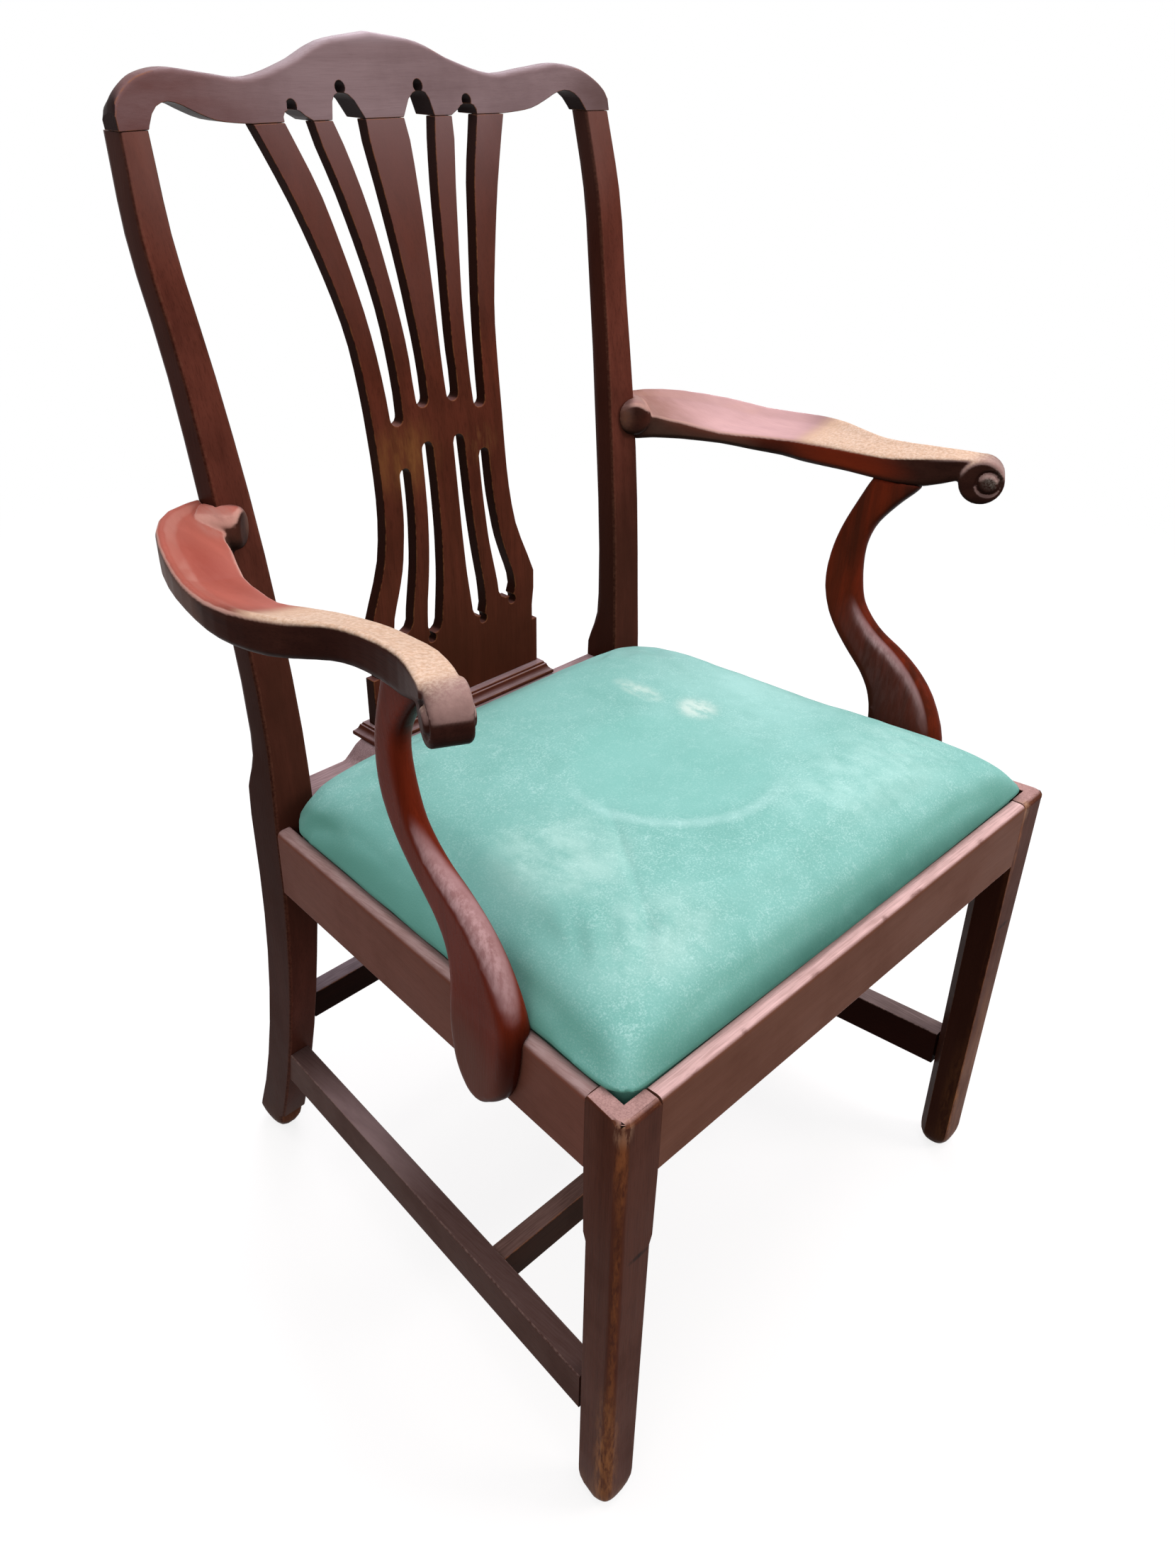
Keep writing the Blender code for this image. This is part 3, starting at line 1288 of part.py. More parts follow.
def webbing():
    inset = CLOTH + GAP
    near, far = seat_front(inset), seat_rear(inset)
    open_near, open_far = near + BAR_WIDTH - WEB_LAP, far - BAR_WIDTH + WEB_LAP
    low = bar_high() + GAP
    rows = {"front": 0.23, "middle": 0.5, "back": 0.77}
    for word, share in rows.items():
        y = open_near + (open_far - open_near) * share
        half = seat_half(y + WEB_WIDTH / 2, inset) - BAR_WIDTH + WEB_LAP
        outline = rectangle(-half, half, y - WEB_WIDTH / 2, y + WEB_WIDTH / 2)
        strip = prism(f"webbing_cross_{word}", outline, seat_place, low, low + WEB_THICKNESS)
        make_piece(strip, LINEN, 0.9)
    low += WEB_THICKNESS + GAP
    pitch = 2 * (seat_half(far, inset) - BAR_WIDTH) / 3.3
    for word, step in {"left": -1, "middle": 0, "right": 1}.items():
        x = step * pitch
        outline = rectangle(x - WEB_WIDTH / 2, x + WEB_WIDTH / 2, open_near, open_far)
        strip = prism(f"webbing_long_{word}", outline, seat_place, low, low + WEB_THICKNESS)
        make_piece(strip, LINEN, 0.9)


def hessian_low():
    return bar_high() + 2 * WEB_THICKNESS + 3 * GAP


def hessian():
    inset = HESSIAN_INSET
    near, far = seat_front(inset), seat_rear(inset)
    outline = [
        (-seat_half(near, inset), near), (seat_half(near, inset), near),
        (seat_half(far, inset), far), (-seat_half(far, inset), far),
    ]
    low = hessian_low()
    make_piece(prism("hessian", outline, seat_place, low, low + HESSIAN_THICKNESS), LINEN, 0.95)


def seat_pad():
    """Stuffing: crowned, with its edge drawn in under the cover."""
    inset = CLOTH + GAP
    low = hessian_low() + HESSIAN_THICKNESS + GAP
    rings = [seat_ring(inset + PAD_FOOT[0], low, PAD_FOOT[1])]
    for draw, height, corner in COVER_RINGS:
        if height - inset * 1.4 > low + 0.003:
            rings.append(seat_ring(draw + inset * 1.15, height - inset * 1.4, corner))
    make_piece(loft("seat_pad", rings), HAIR, 0.95, smooth=True)


def seat_cover():
    """Cloth over the pad, down the sides and turned under the seat frame."""
    rings = [seat_ring(COVER_FLANGE, 0, FLANGE_CORNER)]
    rings += [seat_ring(inset, height, corner) for inset, height, corner in COVER_RINGS]
    bm = bmesh.new()
    rows = [[bm.verts.new(point) for point in ring] for ring in rings]
    for low, high in zip(rows, rows[1:]):
        for i in range(len(low)):
            j = (i + 1) % len(low)
            bm.faces.new((low[i], low[j], high[j], high[i]))
    bm.faces.new(rows[-1])
    cover = add_mesh("seat_cover", bm)
    top = max(cover.data.polygons, key=lambda face: face.center.z)
    if top.normal.z < 0:
        cover.data.flip_normals()
    shell = cover.modifiers.new("cloth", "SOLIDIFY")
    shell.thickness = CLOTH
    shell.offset = -1
    shell.use_even_offset = False
    make_piece(cover, GREEN_CLOTH, 0.9, smooth=True)


def centre_chair():
    """Sets the root so that the chair's box is centred over the origin."""
    bpy.context.view_layer.update()
    graph = bpy.context.evaluated_depsgraph_get()
    near, far = math.inf, -math.inf
    for obj in PIECES.objects:
        if obj.type != "MESH":
            continue
        for corner in obj.evaluated_get(graph).bound_box:
            near = min(near, corner[1])
            far = max(far, corner[1])
    ROOT.location.y = -(near + far) / 2


def main():
    front_mortises = front_rail_mortises()
    pocket = seat_pocket()
    back_mortises = back_rail_tenons(GAP)
    back_stretcher_mortises = back_stretcher_tenons(GAP)
    cross_mortises = cross_tenons(GAP)
    front_rail()
    crest_tools = splat_tenons(GAP)
    crest_tools += slot_head("inner_head", INNER_UPPER_SLOT, INNER_HEAD)
    crest_tools += slot_head("outer_head", OUTER_UPPER_SLOT, OUTER_HEAD)
    for word, side in SIDES.items():
        rail_mortises = side_rail_mortises(word, side)
        stretcher_mortises = side_stretcher_tenons(word, side, GAP)
        crest_tools.append(post_tenon(word, side, GAP))
        post_screw_hole = arm_screw(word, side, tool=True)
        screw_holes = [support_screw(word, side, spot, tool=True) for spot in SUPPORT_SCREWS]
        front_leg(word, side, [front_mortises, rail_mortises, pocket, stretcher_mortises])
        back_post(word, side, [rail_mortises, back_mortises, stretcher_mortises,
                               back_stretcher_mortises, post_screw_hole])
        rail = side_rail(word, side)
        for hole in screw_holes:
            cut(rail, hole)
        side_stretcher(word, side, [cross_mortises])
        lap_low, lap_high = (ARM_LEVEL + reach for reach in POST_LAP)
        lap = loft(f"post_lap_{word}", post_rings(side, GAP, lap_low, lap_high))
        arm(word, side, lap, [support_tenon(word, side, GAP), post_screw_hole])
        arm_support(word, side, screw_holes)
        for spot in SUPPORT_SCREWS:
            support_screw(word, side, spot)
        arm_screw(word, side)
        corner_blocks(word, side)
    crest_rail(crest_tools)
    splat([*splat_tenons(), splat_foot()])
    back_rail()
    shoe()
    cross_stretcher()
    back_stretcher()
    fixed = set(bpy.data.objects)
    seat_frame()
    webbing()
    hessian()
    seat_pad()
    seat_cover()
    for obj in set(bpy.data.objects) - fixed:
        obj.parent = SEAT_LIFT
    centre_chair()


main()
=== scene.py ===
"""Looks of a georgian armchair: wax-polished mahogany with worn arrises and a green suede drop-in seat."""

import logging
import math
from dataclasses import dataclass, field
from enum import Enum
from typing import Any

import bmesh
import bpy
from mathutils import Matrix, Vector, noise


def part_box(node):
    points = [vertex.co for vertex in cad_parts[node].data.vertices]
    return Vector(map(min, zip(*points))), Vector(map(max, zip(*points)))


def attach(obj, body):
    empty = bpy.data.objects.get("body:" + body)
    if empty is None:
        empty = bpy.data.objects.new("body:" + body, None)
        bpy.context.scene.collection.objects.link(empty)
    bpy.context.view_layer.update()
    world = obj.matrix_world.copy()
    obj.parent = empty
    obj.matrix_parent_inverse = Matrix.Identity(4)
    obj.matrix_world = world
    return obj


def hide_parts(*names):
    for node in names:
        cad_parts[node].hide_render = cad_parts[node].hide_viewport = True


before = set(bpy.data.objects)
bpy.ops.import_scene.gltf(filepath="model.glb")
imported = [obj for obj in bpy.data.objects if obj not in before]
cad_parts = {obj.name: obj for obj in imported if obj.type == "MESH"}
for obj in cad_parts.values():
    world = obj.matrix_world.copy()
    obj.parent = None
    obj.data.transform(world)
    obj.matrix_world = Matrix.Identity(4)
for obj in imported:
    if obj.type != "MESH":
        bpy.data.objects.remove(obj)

LOG = logging.getLogger("armchair")
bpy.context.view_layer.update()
SEAT_BODY = "drop_in_seat"
FRAME_BODY = "frame"
SEAT_BARS = ("seat_bar_front", "seat_bar_back", "seat_bar_left", "seat_bar_right")
SIDES = (("left", -1), ("right", 1))
BUMP_DEPTH = 0.0006
WELD = 2e-5

Socket = bpy.types.NodeSocket
Material = bpy.types.Material
Piece = bpy.types.Object
Mesh = bmesh.types.BMesh
Point = tuple[float, float, float]
Span = tuple[float, float]


class Grain(Enum):
    """Way the grain of a board runs, as the squeeze of the pattern along each axis."""

    ACROSS = (0.05, 1.0, 1.0)
    DEEP = (1.0, 0.05, 1.0)
    UPRIGHT = (1.0, 1.0, 0.05)


class Slot(Enum):
    """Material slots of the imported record."""

    MAHOGANY = "mahogany"
    WORN_MAHOGANY = "worn_mahogany"
    BEECH = "beech"
    WEBBING = "webbing"
    HESSIAN = "hessian"
    CLOTH = "green_cloth"
    STEEL = "steel"


class Facing(Enum):
    """Faces that a patch of wear, painted shade or painted highlight lies on, as the rise of the normal where
    it starts and where it is whole.
    """

    ALL = ()
    UPPER = ((0.25, 0.75),)
    SIDES = ((0.75, 0.35),)
    FRONT = ((0.04, 0.34),)
    RIM = ((0.25, 0.50), (0.92, 0.72))


class Arris(Enum):
    """Edges of a piece that are broken: all, or only those along one axis so that its joints stay tight."""

    ALL = None
    ACROSS = 0
    DEEP = 1
    UPRIGHT = 2


def linear(code: str) -> tuple[float, float, float, float]:
    """Turn a colour from sRGB hex to linear light.

    Args:
        code: Six hex digits.

    Returns:
        Red, green, blue and alpha, linear.
    """
    shares = [int(code[i:i + 2], 16) / 255 for i in (0, 2, 4)]
    red, green, blue = (s / 12.92 if s <= 0.04045 else ((s + 0.055) / 1.055) ** 2.4 for s in shares)
    return red, green, blue, 1.0


def smooth_share(value: float, low: float, high: float) -> float:
    """Share of the way from low to high, eased at both ends.

    Args:
        value: Number to place.
        low: Number that gives 0.
        high: Number that gives 1.

    Returns:
        A share from 0 to 1.
    """
    share = min(max((value - low) / (high - low), 0.0), 1.0)
    return share * share * (3 - 2 * share)


def plug(tree: bpy.types.NodeTree, node: bpy.types.Node, inputs: dict[Any, Any]) -> None:
    """Give inputs of a node their values and links.

    Args:
        tree: Node tree that holds the node.
        node: Node to fill.
        inputs: Value or socket for each input, by name or number.
    """
    for key, value in inputs.items():
        if isinstance(value, Socket):
            tree.links.new(value, node.inputs[key])
        else:
            node.inputs[key].default_value = value


def add_node(tree: bpy.types.NodeTree, kind: str, inputs: dict[Any, Any] | None = None,
             **settings: Any) -> bpy.types.Node:
    """Add a node with its settings, values and links.

    Args:
        tree: Node tree that takes the node.
        kind: Blender's name for the kind of node.
        inputs: Value or socket for each input, by name or number.
        settings: Properties of the node itself.

    Returns:
        The new node.
    """
    node = tree.nodes.new(kind)
    for key, value in settings.items():
        setattr(node, key, value)
    plug(tree, node, inputs or {})
    return node


def settle(piece: Piece) -> None:
    """Apply all modifiers of a piece to its mesh."""
    graph = bpy.context.evaluated_depsgraph_get()
    mesh = bpy.data.meshes.new_from_object(piece.evaluated_get(graph))
    piece.modifiers.clear()
    piece.data = mesh


def add_piece(name: str, bm: Mesh, material: Material | None = None) -> Piece:
    """Turn a mesh that was worked on into an object of the scene.

    Args:
        name: Name of the object and of its mesh.
        bm: Mesh to use up.
        material: Finish of the piece, or None for none yet.

    Returns:
        The object.
    """
    mesh = bpy.data.meshes.new(name)
    bm.to_mesh(mesh)
    bm.free()
    mesh.materials.clear()
    if material:
        mesh.materials.append(material)
    piece = bpy.data.objects.new(name, mesh)
    bpy.context.scene.collection.objects.link(piece)
    return piece


def even_faces(piece: Piece, size: float) -> None:
    """Rebuild a closed piece from even faces of a size."""
    remesh = piece.modifiers.new("even_faces", "REMESH")
    remesh.mode = "VOXEL"
    remesh.voxel_size = size
    remesh.use_smooth_shade = True
    settle(piece)


class Nodes:
    """A node tree that is being filled. Each method adds what it needs and gives back the output."""

    def __init__(self, tree: bpy.types.NodeTree) -> None:
        """Take the tree to fill."""
        self.tree = tree

    def calc(self, operation: str, first: Any, second: Any = 0.0) -> Socket:
        """Work out one sum on two values or sockets."""
        return add_node(self.tree, "ShaderNodeMath", {0: first, 1: second}, operation=operation).outputs[0]

    def vector(self, operation: str, first: Any, second: Any = (0, 0, 0)) -> Socket:
        """Work out one sum on two vectors."""
        node = add_node(self.tree, "ShaderNodeVectorMath", {0: first, 1: second}, operation=operation)
        return node.outputs["Value" if operation in ("LENGTH", "DOT_PRODUCT") else "Vector"]

    def spread(self, value: Socket, low: float, high: float, start: float = 0.0, end: float = 1.0,
               eased: bool = False) -> Socket:
        """Carry one range over to another, and stop at its ends.

        Args:
            value: Value to carry over.
            low: Value that gives start.
            high: Value that gives end.
            start: First end of the new range.
            end: Last end of the new range.
            eased: True for a range with soft ends.

        Returns:
            Socket with the new value.
        """
        return add_node(self.tree, "ShaderNodeMapRange", {
            "Value": value, "From Min": low, "From Max": high, "To Min": start, "To Max": end,
        }, interpolation_type="SMOOTHSTEP" if eased else "LINEAR").outputs[0]

    def mix(self, share: Socket, base: Any, tone: Any) -> Socket:
        """Mix two colours, each an sRGB hex code or a socket."""
        base, tone = (linear(end) if isinstance(end, str) else end for end in (base, tone))
        return add_node(self.tree, "ShaderNodeMix", {0: share, 6: base, 7: tone}, data_type="RGBA").outputs[2]

    def noise(self, place: Socket, scale: float, detail: float, rough: float = 0.5,
              twist: float = 0.0) -> Socket:
        """Draw a cloudy pattern.

        Args:
            place: Coordinates to draw it on.
            scale: Clouds to the metre.
            detail: Steps of finer clouds.
            rough: Strength of the finer clouds.
            twist: How far the clouds are drawn out of shape.

        Returns:
            Socket with the pattern.
        """
        return add_node(self.tree, "ShaderNodeTexNoise", {
            "Vector": place, "Scale": scale, "Detail": detail, "Roughness": rough, "Distortion": twist,
        }).outputs["Fac"]

    def normal(self) -> bpy.types.NodeOutputs:
        """Split the normal of the surface into X, Y and Z."""
        normal = add_node(self.tree, "ShaderNodeNewGeometry").outputs["Normal"]
        return add_node(self.tree, "ShaderNodeSeparateXYZ", {0: normal}).outputs

    def facing(self, *ranges: Span) -> Socket:
        """Pick out faces by how far they look up.

        Args:
            ranges: Upward share of the normal that gives 0 and the one that gives 1, for each limit.

        Returns:
            Socket with the share at each point.
        """
        rise = self.normal()[2]
        shares = [self.spread(rise, start, whole, eased=True) for start, whole in ranges]
        return self.calc("MINIMUM", shares[0], shares[-1])


class Surface(Nodes):
    """A material that is being made, with its object coordinates."""

    def __init__(self, name: str) -> None:
        """Start a plain material."""
        self.made = bpy.data.materials.new(name)
        self.made.use_nodes = True
        super().__init__(self.made.node_tree)
        self.coords = add_node(self.tree, "ShaderNodeTexCoord").outputs["Object"]

    def squeezed(self, squeeze: Point) -> Socket:
        """Squeeze the object coordinates along each axis."""
        return add_node(self.tree, "ShaderNodeMapping", {"Vector": self.coords, "Scale": squeeze}).outputs[0]

    def layered(self, colour: Any, layers: list[tuple[Socket, str]]) -> Socket:
        """Lay colours over each other.

        Args:
            colour: Colour at the bottom.
            layers: Share and colour of each layer, from the bottom up.

        Returns:
            Socket with the colour.
        """
        for share, tone in layers:
            colour = self.mix(share, colour, tone)
        return colour

    def bump(self, height: Socket, strength: float) -> Socket:
        """Raise a fine relief."""
        relief = {"Strength": strength, "Distance": BUMP_DEPTH, "Height": height}
        return add_node(self.tree, "ShaderNodeBump", relief).outputs[0]

    def finish(self, inputs: dict[str, Any]) -> Material:
        """Give the shader its inputs and hand over the material."""
        plug(self.tree, self.tree.nodes["Principled BSDF"], inputs)
        return self.made


@dataclass(frozen=True)
class Patch:
    """A place on the object where the surface differs, as an ellipsoid that fades outwards.

    Attributes:
        centre: Middle of the patch, in metres.
        reach: Half size along X, Y and Z, in metres.
        colour: sRGB hex of the surface there.
        amount: Strength in the middle.
        grit: Size in metres of the grain that breaks the patch up.
        bare: Share of the patch that the grain leaves whole.
        facing: Faces that it lies on.
        soft: Width of its faded rim, as a share of its reach.
        even: True for grain that lies no special way.
    """

    centre: Point
    reach: Point
    colour: str
    amount: float = 1.0
    grit: float = 0.004
    bare: float = 0.3
    facing: Facing = Facing.ALL
    soft: float = 0.75
    even: bool = False

    def layer(self, surface: Surface, squeeze: Point) -> tuple[Socket, str]:
        """Draw the patch.

        Args:
            surface: Material that shows the patch.
            squeeze: Squeeze of the breaking grain along each axis.

        Returns:
            Socket with the share of the patch at each point, and its colour.
        """
        lie = surface.squeezed((1, 1, 1) if self.even else squeeze)
        broken = surface.spread(surface.noise(lie, 1 / self.grit, 4.0, 0.65), 0.40, 0.62, self.bare)
        scaled = surface.vector("DIVIDE", surface.vector("SUBTRACT", surface.coords, self.centre), self.reach)
        inside = surface.spread(surface.vector("LENGTH", scaled), 1.0, 1 - self.soft, 0.0, self.amount, True)
        share = surface.calc("MULTIPLY", inside, broken)
        if self.facing is not Facing.ALL:
            share = surface.calc("MULTIPLY", share, surface.facing(*self.facing.value))
        return share, self.colour


@dataclass(frozen=True)
class PolishedMahogany:
    """Cuban mahogany, planed, stained and wax polished: deep red-brown with fine dark pores that follow the
    grain, a soft sheen, and paler wood along the arrises where hands and feet have rubbed it bare. Faces that
    look up get a painted grey sheen, and faces that look to the sides or down get painted shade."""

    name: str
    grain: Grain
    deep: str = "2a100b"
    body: str = "4a261d"
    light: str = "5c3024"
    # Colour where an arris is rubbed through; on the seat rails it also stands for a painted highlight.
    worn: str = "8f5a38"
    # Colour of old wax bloomed grey and of a painted sheen, on faces that look up.
    bloom: str = "8a6a68"
    arris_wear: float = 0.45
    bloom_share: float = 0.30
    roughness: float = 0.36
    sheen_level: float = 0.012
    bloom_rise: Span = (0.40, 0.90)
    sheen_tint: str = "f0c0b0"
    # Painted shade, with some old polish and dirt, on faces that look to the sides or down.
    grime: str = "1c0b07"
    grime_share: float = 0.0
    grime_under: float = 0.85
    pore_depth: float = 0.26
    patches: tuple[Patch, ...] = ()
    figure_width: float = 0.012
    # Real pores are 0.2 mm wide. They are drawn at 1.1 mm so that they still show in the render.
    pore_width: float = 0.0011
    rub_size: float = 0.007
    stain_scale: float = 14.0
    stain_depth: float = 0.40
    least_squeeze: float = 0.22

    def material(self) -> Material:
        """Make the node material.

        Returns:
            The new material.
        """
        wood = Surface(self.name)
        lie = wood.squeezed(self.grain.value)
        pores = wood.noise(lie, 1 / self.pore_width, 2.0)
        cloud = wood.noise(wood.coords, self.stain_scale, 5.0, 0.6)
        squeeze = tuple(max(s, self.least_squeeze) for s in self.grain.value)
        layers = [self.bloom_layer(wood, cloud, pores)]
        layers += [patch.layer(wood, squeeze) for patch in self.patches]
        layers += [self.grime_layer(wood), self.arris_layer(wood)]
        return wood.finish({
            "Base Color": wood.layered(self.sound_wood(wood, lie, pores, cloud), layers),
            "Roughness": wood.spread(cloud, 0.3, 0.7, self.roughness - 0.05, self.roughness + 0.10),
            "Normal": wood.bump(wood.calc("ADD", pores, cloud), 0.16),
            "Specular IOR Level": self.sheen_level, "Specular Tint": linear(self.sheen_tint),
        })

    def sound_wood(self, wood: Surface, lie: Socket, pores: Socket, cloud: Socket) -> Socket:
        """Mix the colour of the sound wood from its figure, its pores and the uneven stain.

        Args:
            wood: Material to work on.
            lie: Coordinates squeezed along the grain.
            pores: Fine streaks along the grain.
            cloud: Uneven stain.

        Returns:
            Socket with the colour.
        """
        figure = wood.noise(lie, 1 / self.figure_width, 4.0, 0.55, 0.6)
        return wood.layered(self.body, [
            (wood.spread(figure, 0.32, 0.68), self.light),
            (wood.spread(cloud, 0.45, 0.75, 0.0, self.stain_depth), self.deep),
            (wood.spread(pores, 0.52, 0.68, 0.0, self.pore_depth), self.deep),
        ])

    def bloom_layer(self, wood: Surface, cloud: Socket, pores: Socket) -> tuple[Socket, str]:
        """Paint a grey sheen on faces that look up: partly old wax bloomed grey, partly a painted reflection.

        Args:
            wood: Material to work on.
            cloud: Uneven stain.
            pores: Fine streaks along the grain.

        Returns:
            Socket with the share of bloomed wax and painted sheen, and its colour.
        """
        least, most = self.bloom_share * 0.7, min(self.bloom_share * 1.3, 1.0)
        uneven = wood.spread(wood.calc("ADD", cloud, pores), 1.20, 0.75, least, most)
        return wood.calc("MULTIPLY", wood.facing(self.bloom_rise), uneven), self.bloom

    def grime_layer(self, wood: Surface) -> tuple[Socket, str]:
        """Paint shade, along with some old polish and dirt, on faces that look to the sides or down."""
        way = wood.normal()
        walls = wood.spread(wood.calc("ABSOLUTE", way[0]), 0.45, 0.75, 0.0, self.grime_share)
        under = wood.spread(way[2], -0.20, -0.60, 0.0, self.grime_under)
        return wood.calc("MAXIMUM", walls, under), self.grime

    def arris_layer(self, wood: Surface) -> tuple[Socket, str]:
        """Show where an arris is rubbed through, in broken lengths; on the seat rails its pale colour is also
        a painted highlight.
        """
        arris = add_node(wood.tree, "ShaderNodeAttribute", attribute_name="arris").outputs["Fac"]
        rub = wood.noise(wood.coords, 1 / self.rub_size, 4.0, 0.7)
        return wood.calc("MULTIPLY", arris, wood.spread(rub, 0.40, 0.60, 0.0, self.arris_wear)), self.worn


@dataclass(frozen=True)
class SawnBeech:
    """Beech, sawn and left bare: pale brown with short flecks and dust in the saw marks, no polish at all."""

    name: str
    grain: Grain
    pale: str = "a98862"
    dust_and_highlight: str = "7d6145"
    fleck_width: float = 0.0016
    dust_scale: float = 24.0

    def material(self) -> Material:
        """Make the node material.

        Returns:
            The new material.
        """
        wood = Surface(self.name)
        fleck = wood.noise(wood.squeezed(self.grain.value), 1 / self.fleck_width, 3.0, 0.6)
        both = wood.calc("ADD", fleck, wood.noise(wood.coords, self.dust_scale, 4.0))
        colour = wood.mix(wood.spread(both, 0.75, 1.25), self.pale, self.dust_and_highlight)
        return wood.finish({"Base Color": colour, "Normal": wood.bump(both, 0.35), "Roughness": 0.75})


@dataclass(frozen=True)
class TurnedSteel:
    """Mild steel, turned and slotted by hand: dull grey with brown rust freckles in the turning marks."""

    name: str
    bright: str = "8d8a86"
    rust: str = "5a3a28"
    freckle: float = 0.0012

    def material(self) -> Material:
        """Make the node material.

        Returns:
            The new material.
        """
        steel = Surface(self.name)
        share = steel.spread(steel.noise(steel.coords, 1 / self.freckle, 3.0), 0.48, 0.62)
        rough = steel.spread(share, 0.0, 1.0, 0.38, 0.75)
        colour = steel.mix(share, self.bright, self.rust)
        return steel.finish({"Base Color": colour, "Roughness": rough, "Metallic": 0.85})


@dataclass(frozen=True)
class WovenFlax:
    """Flax or jute yarn in plain weave, unbleached: coarse threads crossed squarely, dusty and matt."""

    name: str
    thread: str
    gap: str
    # A hessian thread is about 1.5 mm and a webbing thread 1 mm from its neighbour.
    spacing: float
    # Blender's bands repeat this many metres apart at a scale of one.
    band: float = 0.314
    dust_scale: float = 40.0

    def material(self) -> Material:
        """Make the node material.

        Returns:
            The new material.
        """
        cloth = Surface(self.name)
        threads = [add_node(cloth.tree, "ShaderNodeTexWave", {
            "Vector": cloth.coords, "Scale": self.band / self.spacing, "Distortion": 1.2, "Detail": 1.0,
        }, wave_type="BANDS", bands_direction=axis).outputs["Fac"] for axis in ("X", "Y")]
        weave = cloth.calc("MULTIPLY", *threads)
        share = cloth.calc("MULTIPLY", weave, cloth.noise(cloth.coords, self.dust_scale, 5.0))
        return cloth.finish({
            "Base Color": cloth.mix(share, self.gap, self.thread), "Normal": cloth.bump(weave, 0.6),
            "Roughness": 0.9, "Specular IOR Level": 0.15,
        })


